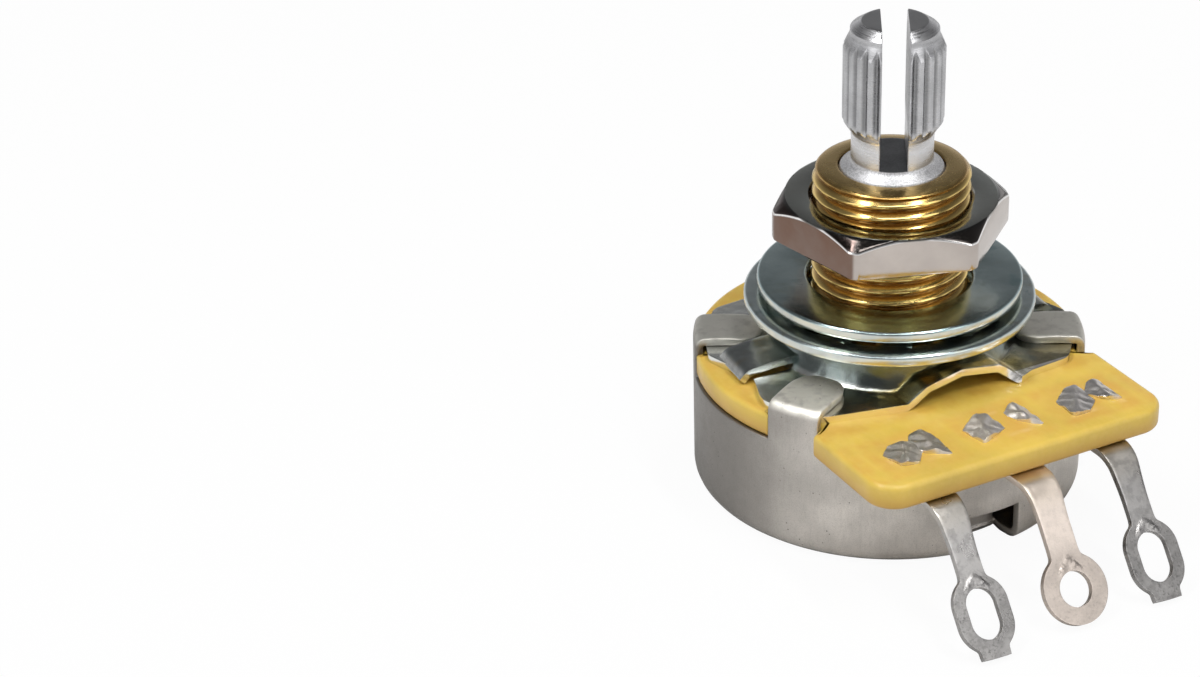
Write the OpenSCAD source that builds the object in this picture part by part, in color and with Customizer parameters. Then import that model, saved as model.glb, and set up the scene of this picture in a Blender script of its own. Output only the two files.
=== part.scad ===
// Panel potentiometer with a split knurled shaft, threaded bushing and three solder lugs.
// The origin is the centre of the can's back, +Z runs along the shaft to its tip,
// and the lugs point to -Y.

/* [Rear cover] */
// Outside diameter of the can
can_d = 23.8; // [23.2:0.1:25]
// Height of the can's wall, from its back to the board
can_h = 7.15; // [7:0.05:8.5]
// Sheet thickness of the can
can_t = 0.5; // [0.4:0.05:0.6]
// Outside radius of the edge round the can's back
can_edge_r = 0.9; // [0.7:0.1:1.2]
// Width of each fold-over tab
tab_w = 3.3; // [2.8:0.1:3.8]
// Gap between a folded tab's end and the foot of the plate's dome
tab_gap = 0.2; // [0.1:0.05:0.5]
// Corner radius at the inner end of a tab
tab_corner_r = 1.3; // [0.8:0.1:1.4]
// Angle from the X axis to each fold-over tab
tab_turn = 29.5; // [28:0.5:31]
// Width of the notch that the stop tongue was bent out of
stop_w = 3.6; // [3.2:0.1:3.8]
// Height of that notch in the can's wall
stop_notch_h = 2.7; // [1.5:0.1:3]
// Depth of that notch in the can's back, from the can's outside
stop_notch_d = 2.1; // [1.7:0.1:2.2]
// Height of the stop tongue above the can's back
stop_tongue_h = 3.7; // [3.3:0.1:4.2]

/* [Element board] */
// Setback of the board's round edge inside the can's outside
board_inset = 0.1; // [0:0.05:0.3]
// Thickness of the board
board_t = 1.6; // [1.4:0.1:1.8]
// Width of the board's terminal end
board_end_w = 19.9; // [19.2:0.1:20.6]
// Reach of the board's terminal end beyond the can's outside
board_end_l = 3.25; // [2.9:0.05:3.7]
// Corner radius of the terminal end
board_corner_r = 1.8; // [1:0.1:2.4]
// Diameter of the board's centre hole
board_bore_d = 7.8; // [7.2:0.1:8]
// Thickness of the printed resistive track
track_t = 0.05; // [0.04:0.01:0.08]
// Setback of the resistive track's outer edge inside the can's outside
track_inset = 2.7; // [2.3:0.1:3]
// Width of the resistive track
track_w = 2.1; // [1.8:0.1:2.3]
// Width of the printed lead from the track to each outer lug
track_lead_w = 1.4; // [1:0.1:1.6]

/* [Solder lugs] */
// Sheet thickness of the lugs
lug_t = 0.4; // [0.35:0.05:0.45]
// Distance between neighbouring lugs
lug_pitch = 5.9; // [5.6:0.05:6.2]
// Setback of a lug's clenched part inside the can's outside
lug_seat_in = 1.3; // [1:0.1:1.5]
// Length of a lug's clenched part
lug_seat_l = 2.75; // [2.4:0.05:3]
// Width of a lug's clenched part, over its two prongs
lug_seat_w = 3.9; // [3.6:0.1:4.1]
// Length of a prong folded flat on the board
prong_l = 2.1; // [1.6:0.1:2.4]
// Length of the other prong, folded half over
prong_short_l = 0.9; // [0.7:0.1:1.2]
// Distance from the board's edge to the corner where the outer lugs bend
bend_l = 0.6; // [0.45:0.05:1.05]
// Distance from the board's edge to the corner where the middle lug bends
bend_mid_l = 1.25; // [0.85:0.05:1.65]
// Bend of the outer lugs below the board's plane
bend_turn = 48.5; // [40:0.5:48.5]
// Bend of the middle lug below the board's plane
bend_mid_turn = 53; // [44:0.5:54]
// Sideways lean of the outer lugs
lug_lean = 3.2; // [0:0.1:4]
// Sideways lean of the middle lug
lug_mid_lean = 1; // [0:0.1:3]
// Stem width of the outer lugs
stem_w = 1.55; // [1.3:0.05:1.8]
// Stem width of the middle lug
stem_mid_w = 1.85; // [1.6:0.05:2.2]
// Distance along an outer lug from its bend to its eye
eye_u = 6.4; // [6:0.05:6.5]
// Distance along the middle lug from its bend to its eye
eye_mid_u = 6.3; // [6:0.05:6.6]
// Outer width of an oval eye
eye_w = 3.45; // [3.2:0.05:3.7]
// Slot width in an oval eye
eye_hole_w = 1.95; // [1.7:0.05:2.1]
// Slot length in an oval eye
eye_hole_l = 3.0; // [2.7:0.05:3.1]
// Outer diameter of the middle lug's round eye
eye_mid_d = 4.15; // [3.8:0.05:4.4]
// Bore of the middle lug's round eye
eye_mid_bore = 2.1; // [1.8:0.05:2.4]
// Width of the nib at the tip of an outer lug
nib_w = 1.55; // [1.2:0.05:1.8]
// Distance along an outer lug from its bend to the nib's end
nib_u = 8.95; // [8.6:0.05:8.95]

/* [Mounting plate and bushing] */
// Sheet thickness of the mounting plate
plate_t = 0.45; // [0.4:0.05:0.5]
// Rise of the plate's round seat above its flange
plate_rise = 1.95; // [1.8:0.05:2.3]
// Radius of the plate's flat seat
seat_r = 6; // [5.6:0.05:6.2]
// Width of the slope from the seat down to the flange
dome_w = 1.4; // [1.2:0.05:1.6]
// Setback of the plate's long edges inside the can's wall
plate_cut = 3.3; // [3:0.05:3.5]
// Setback of the plate's round ends inside the can's wall
plate_gap = 0.1; // [0.05:0.05:0.3]
// Width of the arch across the plate, at its foot
arch_w = 7.4; // [6.6:0.1:7.8]
// Rise of the arch above the flange
arch_rise = 1.3; // [1:0.05:1.5]
// Width of each locating ear
ear_w = 3.1; // [2.6:0.1:3.2]
// Setback of an ear's end inside the can's wall
ear_cut = 0.8; // [0.5:0.1:1]
// Rise of an ear above the flange at its root
ear_rise = 0.8; // [0.6:0.05:0.9]
// Turn of the ears from the X axis
ear_turn = -5.5; // [-7:0.5:0]
// Thread diameter of the bushing
thread_d = 9.525; // [9.2:0.025:9.8]
// Length of the bushing above the plate
bushing_l = 9.2; // [8:0.1:9.6]
// Chamfer at the bushing's top
bushing_chamfer = 0.35; // [0.2:0.05:0.5]
// Diameter of the bushing's spigot through the plate
spigot_d = 8.6; // [8.2:0.1:9]
// Diameter of the swaged collar under the plate
collar_d = 10.4; // [9.8:0.1:11]
// Thickness of the swaged collar
collar_t = 0.55; // [0.4:0.05:0.6]

/* [Nut and washers] */
// Width of the hex nut across its flats
nut_flats = 12.7; // [12.2:0.1:13]
// Thickness of the nut
nut_t = 2.38; // [2:0.02:2.6]
// Gap between the flat washer and the nut as photographed
nut_lift = 2.86; // [2:0.02:3]
// Turn of the nut about the shaft
nut_turn = 39.9; // [0:0.1:60]
// Radial clearance of the nut on the bushing
nut_gap = 0.07; // [0.05:0.01:0.1]
// Drop of the nut's chamfer at its corners
nut_chamfer = 0.75; // [0.4:0.05:0.9]
// Outside diameter of the flat washer
washer_d = 16; // [15.4:0.1:16.6]
// Hole diameter of the flat washer
washer_bore = 10; // [9.9:0.1:10.6]
// Thickness of the flat washer
washer_t = 0.7; // [0.6:0.05:0.9]
// Outside diameter of the toothed lock washer
lock_d = 17.6; // [17:0.1:18]
// Inner radius of the lock washer's rim
lock_rim_r = 7.3; // [7:0.1:7.5]
// Radius at the tips of the lock washer's teeth
lock_tip_r = 5.1; // [5:0.05:5.4]
// Thickness of the lock washer
lock_t = 0.7; // [0.6:0.05:0.8]
// Number of teeth inside the lock washer
lock_teeth = 12; // [10:1:14]
// Twist of each tooth
lock_twist = 26; // [20:1:30]
// Width of a tooth
lock_tooth_w = 2.1; // [1.8:0.1:2.2]

/* [Shaft] */
// Diameter of the shaft where it turns in the bushing
shaft_d = 6.35; // [6.2:0.01:6.4]
// Radial running clearance of the shaft in the bushing
shaft_gap = 0.025; // [0.02:0.005:0.05]
// Length of the neck between the shoulder and the knurl's taper
neck_l = 2.2; // [1.8:0.1:3.4]
// Diameter of the shaft's tip
tip_d = 5.2; // [5:0.05:5.4]
// Outer diameter of the knurl
knurl_d = 6; // [5.8:0.05:6.2]
// Length of the knurl at full diameter
knurl_l = 4.5; // [4:0.1:5]
// Distance from the tip down to the knurl
knurl_drop = 1.6; // [1.4:0.05:2]
// Number of grooves round the knurl
knurl_count = 24; // [18:1:24]
// Depth of a knurl groove
knurl_depth = 0.24; // [0.16:0.02:0.3]
// Width of a knurl groove at the surface
knurl_groove_w = 0.24; // [0.16:0.01:0.25]
// Diameter of the neck under the knurl
neck_d = 4.9; // [4.6:0.05:5.1]
// Height of the shaft's shoulder above the bushing
shoulder_l = 0.2; // [0.1:0.05:0.6]
// Width of the slot across the shaft
slot_w = 1.62; // [1.4:0.02:1.8]
// Height of the slot's floor above the shoulder
slot_foot = 0.55; // [0.35:0.05:0.9]
// Turn of the slot from the Y axis
slot_turn = 30.6; // [0:0.1:90]

/* [Rotor and wiper] */
// Gap between the rotor disc and the stop tongue
rotor_gap = 0.4; // [0.3:0.05:0.7]
// Thickness of the rotor disc
rotor_t = 1.5; // [1.3:0.1:1.6]
// Height of the rotor's top face above the can's back
rotor_top = 4.4; // [4.2:0.05:4.5]
// Gap between the rotor's stop arm and the can's wall
stop_arm_gap = 0.8; // [0.5:0.1:1]
// Half angle of the rotor's stop arm
stop_arm_turn = 19.6; // [16:0.2:19.8]
// Diameter of the shaft's journal in the rotor
journal_d = 4; // [3.6:0.1:4.2]
// Distance over the two drive flats on the journal
journal_flats = 3.2; // [3:0.05:3.4]
// Sheet thickness of the wiper
wiper_t = 0.2; // [0.15:0.05:0.25]
// Gap left between a wiper finger and what it runs on
wiper_gap = 0.05; // [0.04:0.01:0.1]
// Width of a wiper finger
finger_w = 0.6; // [0.5:0.05:0.65]

/* [Hidden] */
$fn = 96;

can_r = can_d / 2;
can_in_r = can_r - can_t;
board_r = can_r - board_inset;
board_end_y = can_r + board_end_l;
board_z = can_h;
board_top = board_z + board_t;
flange_top = board_top + plate_t;
tab_top = flange_top + can_t;
seat_z = flange_top + plate_rise;
bushing_top = seat_z + bushing_l;
seat_gap = 0.05;
plate_r = can_in_r - plate_gap;
plate_half_y = can_in_r - plate_cut;
dome_r = seat_r + dome_w;
tab_reach = can_r - dome_r - tab_gap;
tab_angles = [tab_turn, 180 - tab_turn, 180 + tab_turn, -tab_turn];

// The stop tongue stands at the inner edge of the notch in the can's back
tongue_in_y = can_r - stop_notch_d - can_t;
tongue_w = stop_w - 0.8;

// Lugs lie against the track's face under the board
lug_seat_y = can_r - lug_seat_in;
bend_y = board_end_y + bend_l;
bend_mid_y = board_end_y + bend_mid_l;
lug_top = board_z - track_t;
lug_under = lug_top - lug_t;
prong_t = 0.32;
prong_side_t = 0.4;
slot_gap = 0.1;
bend_in_r = 0.4;
bend_out_r = bend_in_r + lug_t;
collector_in_r = board_bore_d / 2 + 0.3;
collector_out_r = collector_in_r + 1.4;
collector_strip_w = 3;
flare_l = 1.6;
rim_cut_depth = can_t + 1.5;
track_out_r = can_r - track_inset;
track_in_r = track_out_r - track_w;
track_gap_turn = 30;

// Teeth reach as far below the lock washer's rim as above it
tooth_half = lock_tooth_w / 2 * sin(lock_twist) + lock_t / 2 * cos(lock_twist);
lock_mid = seat_z + tooth_half;
washer_z = lock_mid + tooth_half;
nut_z = washer_z + washer_t + nut_lift;
nut_bore_r = thread_d / 2 + nut_gap;
nut_corner_r = nut_flats / 2 / cos(30);
nut_flat_r = nut_flats / 2 - 0.1;

shaft_r = shaft_d / 2;
bore_r = shaft_r + shaft_gap;
neck_r = neck_d / 2;
taper_l = 0.85;
shoulder_z = bushing_top + shoulder_l;
knurl_low = shoulder_z + neck_l + taper_l;
knurl_top = knurl_low + knurl_l;
tip_z = knurl_top + knurl_drop;
tip_chamfer = 0.45;
slot_z = shoulder_z + slot_foot;
collar_z = seat_z - plate_t - collar_t;
thrust_t = 0.28;
thrust_gap = 0.05;
thrust_z = collar_z - thrust_gap - thrust_t;
ring_t = 0.45;
ring_gap = 0.03;
ring_z = thrust_z - ring_t;
ring_groove_r = shaft_r - 0.55;
rotor_r = tongue_in_y - rotor_gap;
stop_arm_r = can_in_r - stop_arm_gap;
rotor_z = rotor_top - rotor_t;
journal_gap = 0.02;
head_t = 0.6;
wiper_base_in_r = shaft_r + 0.3;
wiper_base_out_r = wiper_base_in_r + 2;
wiper_arm_x = 3.2;
wiper_arm_w = 1.2;
track_mid_r = (track_in_r + track_out_r) / 2;
collector_mid_r = (collector_in_r + collector_out_r) / 2;

// Half of the plate's outline, from its left slot round its front edge to its right slot
arch_half = arch_w / 2;
slot_side_y = ear_w / 2 + 0.45;
plate_half = [
    [-dome_r, -slot_side_y], [-plate_r + 1.3, -slot_side_y],
    [-plate_r + 0.6, -slot_side_y - 1], [-plate_r - plate_t, -slot_side_y - 4],
    [-plate_r + 2.7, -plate_half_y + 1.15], [-arch_half, -plate_half_y],
    [arch_half - 0.5, -plate_half_y], [arch_half + 0.15, -plate_half_y - 0.6],
    [arch_half + 1.1, -plate_half_y - 0.2], [plate_r - 3, -plate_half_y + 0.1],
    [plate_r + plate_t, -slot_side_y - 4], [plate_r + plate_t, -slot_side_y - 1],
    [plate_r - 1, -slot_side_y], [dome_r, -slot_side_y]];

// A cup's half section: outer radius, height and the outside radius of its edge
module cup_half(r, h, edge) {
    square([r - edge, h]);
    translate([0, edge]) square([r, h - edge]);
    translate([r - edge, edge]) circle(edge);
}

module can_shell() {
    rotate_extrude() intersection() {
        difference() {
            cup_half(can_r, can_h, can_edge_r);
            translate([0, can_t]) cup_half(can_in_r, can_h, can_edge_r - can_t);
        }
        square([can_r, can_h]);
    }
}

// A tab runs up from the wall past the board and folds over the mounting plate
module fold_tab() {
    fold_r = can_t + 0.15;
    root_z = can_h - 1;
    intersection() {
        rotate([90, 0, 0]) linear_extrude(tab_w, center = true) difference() {
            union() {
                translate([can_r - tab_reach, root_z])
                    square([tab_reach - fold_r, tab_top - root_z]);
                translate([can_r - tab_reach, root_z])
                    square([tab_reach, tab_top - fold_r - root_z]);
                translate([can_r - fold_r, tab_top - fold_r]) circle(fold_r);
            }
            translate([0, root_z - 1]) square([can_in_r, tab_top - can_t - root_z + 1]);
        }
        translate([0, 0, root_z]) cylinder(r = can_r, h = tab_top);
        translate([can_r - tab_reach, 0, root_z]) linear_extrude(tab_top) union() {
            translate([tab_corner_r, -tab_w / 2]) square([tab_reach, tab_w]);
            translate([0, tab_corner_r - tab_w / 2]) square([tab_reach, tab_w - 2 * tab_corner_r]);
            for (s = [-1, 1]) translate([tab_corner_r, s * (tab_w / 2 - tab_corner_r)])
                circle(tab_corner_r);
        }
    }
}

module rear_cover() {
    rim_cut_z = lug_under - 0.25;
    outer_cut = [lug_pitch - lug_seat_w / 2 - 0.2, lug_pitch + lug_seat_w / 2 - 0.4];
    outer_depth = can_r - sqrt(can_in_r * can_in_r - outer_cut[1] * outer_cut[1]) + can_t;
    mid_cut = collector_strip_w / 2 + 0.9;
    color([0.56, 0.54, 0.51]) union() {
        difference() {
            can_shell();
            // Openings in the rim for the three lugs and the printed leads
            for (s = [-1, 1]) translate([s > 0 ? outer_cut[0] : -outer_cut[1], -can_r, rim_cut_z])
                cube([outer_cut[1] - outer_cut[0], outer_depth, can_h]);
            translate([-mid_cut, -can_r, rim_cut_z]) cube([2 * mid_cut, rim_cut_depth, can_h]);
            // Notch at the back's edge that the stop tongue was bent out of
            translate([-stop_w / 2, -can_r - 1, -1])
                cube([stop_w, stop_notch_d + 1, stop_notch_h + 1]);
        }
        for (a = tab_angles) rotate(a) fold_tab();
        // Stop tongue, bent up inside the can
        translate([-tongue_w / 2, -tongue_in_y - can_t, 0])
            cube([tongue_w, can_t, stop_tongue_h]);
        translate([-tongue_w / 2, -tongue_in_y - can_t, 0])
            cube([tongue_w, 2 * can_t, can_t]);
    }
}

// Plan of the board's terminal end, with round outer corners
module board_end() {
    half = board_end_w / 2;
    r = board_corner_r;
    translate([-half, -board_end_y + r]) square([board_end_w, board_end_y - r]);
    translate([-half + r, -board_end_y]) square([board_end_w - 2 * r, board_end_y]);
    for (s = [-1, 1]) translate([s * (half - r), -board_end_y + r]) circle(r);
}

// Slots that a lug's two prongs come up through
module prong_slots(x) {
    side = prong_side_t + 2 * slot_gap;
    for (s = [-1, 1])
        translate([x + s * (lug_seat_w / 2 - prong_side_t / 2) - side / 2,
            -lug_seat_y - lug_seat_l - slot_gap])
            square([side, lug_seat_l + 2 * slot_gap]);
}

module element_board() {
    color([0.80, 0.66, 0.30]) translate([0, 0, board_z]) linear_extrude(board_t) difference() {
        union() {
            circle(board_r);
            difference() {
                board_end();
                translate([-board_end_w, 0]) square([2 * board_end_w, board_end_y]);
            }
        }
        circle(board_bore_d / 2);
        for (a = tab_angles) rotate(a) translate([can_in_r - seat_gap, -tab_w / 2 - seat_gap])
            square([can_t * 4, tab_w + 2 * seat_gap]);
        for (x = [-lug_pitch, 0, lug_pitch]) prong_slots(x);
    }
}

// Printed horseshoe under the board, with a lead out to each outer lug
module resistive_track() {
    lead_in = lug_pitch - lug_seat_w / 2 + prong_side_t + slot_gap;
    lead_end_y = lug_seat_y + lug_seat_l + 0.55;
    lead_mid = min(lead_in + track_lead_w / 2, track_mid_r);
    lead_foot_y = sqrt(track_mid_r * track_mid_r - lead_mid * lead_mid);
    dot_r = 0.75;
    color([0.09, 0.08, 0.08]) translate([0, 0, lug_top]) linear_extrude(track_t) union() {
        difference() {
            circle(track_out_r);
            circle(track_in_r);
            polygon([[0, 0], for (s = [-1, 1])
                [2 * can_d * sin(s * track_gap_turn), -2 * can_d * cos(track_gap_turn)]]);
        }
        for (s = [-1, 1]) {
            translate([s > 0 ? lead_in : -lead_in - track_lead_w, -lead_end_y])
                square([track_lead_w, lead_end_y - lead_foot_y]);
            translate([s * (lead_in + 0.15), -lead_end_y]) circle(dot_r);
        }
    }
}

// The clenched part of a lug: a seat under the board and two prongs folded over its top
module lug_seat(x) {
    half = lug_seat_w / 2;
    side_l = lug_seat_l;
    translate([x - half, -lug_seat_y - side_l, lug_under]) cube([lug_seat_w, side_l, lug_t]);
    for (s = [-1, 1]) translate([s > 0 ? x + half - prong_side_t : x - half,
        -lug_seat_y - side_l, lug_under])
        cube([prong_side_t, side_l, board_top + prong_t - lug_under]);
    translate([x - half, -lug_seat_y - side_l, board_top]) cube([prong_l, side_l, prong_t]);
    translate([x + half - prong_short_l, -lug_seat_y - side_l, board_top])
        cube([prong_short_l, side_l, prong_t]);
}

// The bend of a lug, round the X axis, from level to the stated turn
module lug_bend(w, turn) {
    rotate([180, -90, 0]) rotate_extrude(angle = turn)
        translate([bend_in_r, -w / 2]) square([lug_t, w]);
}

// Places its children on the bent-down plane: X across, Y along the lug from its bend's end
module lug_plane(x, corner_y, turn, lean) {
    back = bend_out_r * tan(turn / 2);
    translate([x, -corner_y + back - bend_out_r * sin(turn),
        lug_top - bend_out_r + bend_out_r * cos(turn)])
        rotate([180 + turn, 0, 0]) rotate([0, 0, lean]) linear_extrude(lug_t) children();
}

// A lug's level stem and its bend
module lug_stem(x, w, corner_y, turn) {
    back = bend_out_r * tan(turn / 2);
    inner_y = lug_seat_y + lug_seat_l;
    translate([x - w / 2, -corner_y + back, lug_under])
        cube([w, corner_y - back - inner_y + 0.01, lug_t]);
    translate([x, -corner_y + back, lug_top - bend_out_r]) lug_bend(w, turn);
}

// Oval eye with a square nib, for the outer lugs
module oval_eye(turn) {
    start = bend_out_r * tan(turn / 2);
    mid = eye_u - start;
    spread = (eye_hole_l - eye_hole_w) / 2;
    difference() {
        union() {
            translate([-stem_w / 2, 0]) square([stem_w, mid]);
            for (s = [-1, 1]) translate([0, mid + s * spread]) circle(eye_w / 2);
            translate([-eye_w / 2, mid - spread]) square([eye_w, 2 * spread]);
            translate([-nib_w / 2, mid]) square([nib_w, nib_u - start - mid]);
        }
        for (s = [-1, 1]) translate([0, mid + s * spread]) circle(eye_hole_w / 2);
        translate([-eye_hole_w / 2, mid - spread]) square([eye_hole_w, 2 * spread]);
    }
}

module outer_lug(x) {
    union() {
        lug_seat(x);
        lug_stem(x, stem_w, bend_y, bend_turn);
        lug_plane(x, bend_y, bend_turn, lug_lean) oval_eye(bend_turn);
    }
}

module terminal_left() {
    color([0.62, 0.61, 0.58]) outer_lug(-lug_pitch);
}

module terminal_right() {
    color([0.62, 0.61, 0.58]) outer_lug(lug_pitch);
}

// The middle lug is one strip with the collector ring that the wiper runs on
module terminal_center() {
    flare_y = lug_seat_y + lug_seat_l;
    start = bend_out_r * tan(bend_mid_turn / 2);
    mid = eye_mid_u - start;
    color([0.72, 0.67, 0.63]) union() {
        lug_seat(0);
        lug_stem(0, stem_mid_w, bend_mid_y, bend_mid_turn);
        translate([0, 0, lug_under]) linear_extrude(lug_t) union() {
            polygon([[-lug_seat_w / 2, -flare_y + 0.01], [lug_seat_w / 2, -flare_y + 0.01],
                [stem_mid_w / 2, -flare_y - flare_l], [-stem_mid_w / 2, -flare_y - flare_l]]);
            translate([-collector_strip_w / 2, -lug_seat_y - 0.01])
                square([collector_strip_w, lug_seat_y - collector_in_r - 0.3]);
            difference() {
                circle(collector_out_r);
                circle(collector_in_r);
            }
        }
        lug_plane(0, bend_mid_y, bend_mid_turn, lug_mid_lean) difference() {
            union() {
                translate([-stem_mid_w / 2, 0]) square([stem_mid_w, mid]);
                translate([0, mid]) circle(eye_mid_d / 2);
            }
            translate([0, mid]) circle(eye_mid_bore / 2);
        }
    }
}

// The plate's dome, drawn in by the stated amount all over and reaching down by as much
module dome(inset) {
    slope = dome_w / plate_rise;
    shift = inset * (sqrt(1 + slope * slope) - slope);
    low = board_top - inset;
    rotate_extrude() polygon([[0, low], [dome_r + slope * plate_t - shift, low],
        [seat_r - shift, seat_z - inset], [0, seat_z - inset]]);
}

// The arch from the plate's front edge to its back edge, drawn in likewise
module arch(inset) {
    top = flange_top + arch_rise - inset;
    low = board_top - inset;
    shoulder = 0.35 * arch_rise;
    rotate([90, 0, 0]) linear_extrude(4 * plate_half_y, center = true) polygon([
        [-arch_half + inset / 2, low], [-arch_half + inset / 2, flange_top - inset],
        [-arch_half * 0.64, top - shoulder], [0, top], [arch_half * 0.7, top - shoulder],
        [arch_half - inset / 2, flange_top - inset], [arch_half - inset / 2, low]]);
}

module plate_outline() {
    intersection() {
        circle(plate_r);
        union() {
            circle(dome_r);
            for (a = [0, 180]) rotate(a) polygon(plate_half);
        }
    }
}

// A locating ear, lanced from the flange: it slopes down to the board
module ear() {
    root = seat_r + dome_w * 0.3;
    end = can_in_r - ear_cut;
    high = flange_top + ear_rise;
    points = [[root, high], [root + (end - root) * 0.45, high - 0.12],
        [root + (end - root) * 0.8, high - ear_rise * 0.5], [end, flange_top]];
    rotate([90, 0, 0]) linear_extrude(ear_w, center = true) polygon(concat(points,
        [for (i = [3 : -1 : 0]) [points[i][0] - (i > 1 ? 0.15 : 0), points[i][1] - plate_t]]));
}

module mounting_plate() {
    color([0.42, 0.46, 0.47]) difference() {
        union() {
            intersection() {
                union() {
                    translate([0, 0, board_top]) linear_extrude(plate_t) plate_outline();
                    dome(0);
                    arch(0);
                }
                translate([0, 0, board_top]) linear_extrude(seat_z) plate_outline();
            }
            for (a = [0, 180]) rotate(a + ear_turn) ear();
        }
        dome(plate_t);
        arch(plate_t);
        translate([0, 0, board_top]) cylinder(d = spigot_d, h = can_d);
    }
}

module threaded_bushing() {
    color([0.80, 0.62, 0.26]) rotate_extrude() polygon([
        [bore_r, collar_z], [collar_d / 2, collar_z],
        [collar_d / 2, collar_z + collar_t], [spigot_d / 2, collar_z + collar_t],
        [spigot_d / 2, seat_z], [thread_d / 2, seat_z],
        [thread_d / 2, bushing_top - bushing_chamfer],
        [thread_d / 2 - bushing_chamfer, bushing_top],
        [bore_r + 0.2, bushing_top], [bore_r, bushing_top - 0.2]]);
}

// Lock washer with twisted teeth inside its rim
module lock_washer() {
    tooth_l = lock_rim_r - lock_tip_r + 0.5;
    color([0.45, 0.47, 0.46]) union() {
        translate([0, 0, lock_mid - lock_t / 2]) difference() {
            cylinder(d = lock_d, h = lock_t);
            translate([0, 0, -1]) cylinder(r = lock_rim_r, h = lock_t + 2);
        }
        for (i = [0 : lock_teeth - 1]) rotate(i * 360 / lock_teeth)
            translate([lock_tip_r, 0, lock_mid]) rotate([lock_twist, 0, 0])
                translate([0, -lock_tooth_w / 2, -lock_t / 2])
                    cube([tooth_l, lock_tooth_w, lock_t]);
    }
}

module flat_washer() {
    edge = 0.1;
    out_r = washer_d / 2;
    in_r = washer_bore / 2;
    top = washer_z + washer_t;
    color([0.40, 0.46, 0.48]) rotate_extrude() polygon([
        [in_r, washer_z], [out_r - edge, washer_z], [out_r, washer_z + edge],
        [out_r, top - edge], [out_r - edge, top], [in_r + edge, top], [in_r, top - edge]]);
}

module hex_nut() {
    slope = nut_chamfer / (nut_corner_r - nut_flat_r);
    round_r = nut_corner_r - 0.16;
    lead = 0.3;
    color([0.66, 0.63, 0.60]) translate([0, 0, nut_z]) difference() {
        intersection() {
            rotate(nut_turn) cylinder(r = nut_corner_r, h = nut_t, $fn = 6);
            rotate_extrude() polygon([[0, 0], [round_r, 0],
                [round_r, nut_t - slope * (round_r - nut_flat_r)], [nut_flat_r, nut_t], [0, nut_t]]);
        }
        translate([0, 0, -1]) cylinder(r = nut_bore_r, h = nut_t + 2);
        translate([0, 0, nut_t - lead])
            cylinder(r1 = nut_bore_r, r2 = nut_bore_r + lead + 0.01, h = lead + 0.01);
        translate([0, 0, -0.01])
            cylinder(r1 = nut_bore_r + lead + 0.01, r2 = nut_bore_r, h = lead + 0.01);
    }
}

// Turned outline of the shaft, from the head under the rotor to the tip
module shaft_half() {
    tip_r = tip_d / 2;
    knurl_r = knurl_d / 2;
    fillet = shaft_r - 0.25 - neck_r;
    groove_z = ring_z - ring_gap;
    groove_top = ring_z + ring_t + ring_gap;
    journal_r = journal_d / 2 - journal_gap;
    difference() {
        polygon([[0, rotor_z - head_t], [journal_r + 0.7, rotor_z - head_t],
            [journal_r + 0.95, rotor_z], [journal_r, rotor_z], [journal_r, rotor_top],
            [shaft_r, rotor_top], [shaft_r, groove_z], [ring_groove_r, groove_z],
            [ring_groove_r, groove_top], [shaft_r, groove_top],
            [shaft_r, shoulder_z - 0.25], [shaft_r - 0.25, shoulder_z],
            [shaft_r - 0.25, shoulder_z + fillet], [neck_r, shoulder_z + fillet],
            [neck_r, knurl_low - taper_l], [knurl_r, knurl_low], [knurl_r, knurl_top],
            [tip_r, tip_z - tip_chamfer - 0.3], [tip_r, tip_z - tip_chamfer],
            [tip_r - tip_chamfer, tip_z], [0, tip_z]]);
        translate([shaft_r - 0.25, shoulder_z + fillet]) circle(fillet);
    }
}

module shaft() {
    groove_low = knurl_low - taper_l;
    groove_h = tip_z - groove_low;
    knurl_r = knurl_d / 2;
    color([0.66, 0.66, 0.66]) difference() {
        rotate_extrude() shaft_half();
        // Knurl, cut as V grooves that run out on the tapers above and below it
        for (i = [0 : knurl_count - 1]) rotate(slot_turn + (i + 0.5) * 360 / knurl_count)
            translate([0, 0, groove_low]) linear_extrude(groove_h) polygon([
                [knurl_r - knurl_depth, 0], [knurl_r + 0.02, -knurl_groove_w / 2],
                [knurl_r + 1, -knurl_groove_w / 2], [knurl_r + 1, knurl_groove_w / 2],
                [knurl_r + 0.02, knurl_groove_w / 2]]);
        rotate(-slot_turn) translate([-slot_w / 2, -shaft_d, slot_z])
            cube([slot_w, 2 * shaft_d, tip_z - slot_z + 1]);
        // Drive flats on the journal
        for (s = [0, 180]) rotate(s) translate([-shaft_d, journal_flats / 2 - journal_gap, rotor_z])
            cube([2 * shaft_d, shaft_d, rotor_t]);
    }
}

module retaining_ring() {
    ring_out_r = shaft_r + 1.1;
    mouth = 2 * ring_groove_r * 0.8;
    color([0.35, 0.35, 0.36]) translate([0, 0, ring_z]) difference() {
        cylinder(r = ring_out_r, h = ring_t);
        translate([0, 0, -1]) cylinder(r = ring_groove_r + ring_gap, h = ring_t + 2);
        translate([-mouth / 2, 0, -1]) cube([mouth, ring_out_r + 1, ring_t + 2]);
    }
}

module thrust_washer() {
    color([0.70, 0.68, 0.62]) translate([0, 0, thrust_z]) difference() {
        cylinder(r = shaft_r + 1.5, h = thrust_t);
        translate([0, 0, -1]) cylinder(r = shaft_r + 0.1, h = thrust_t + 2);
    }
}

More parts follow.
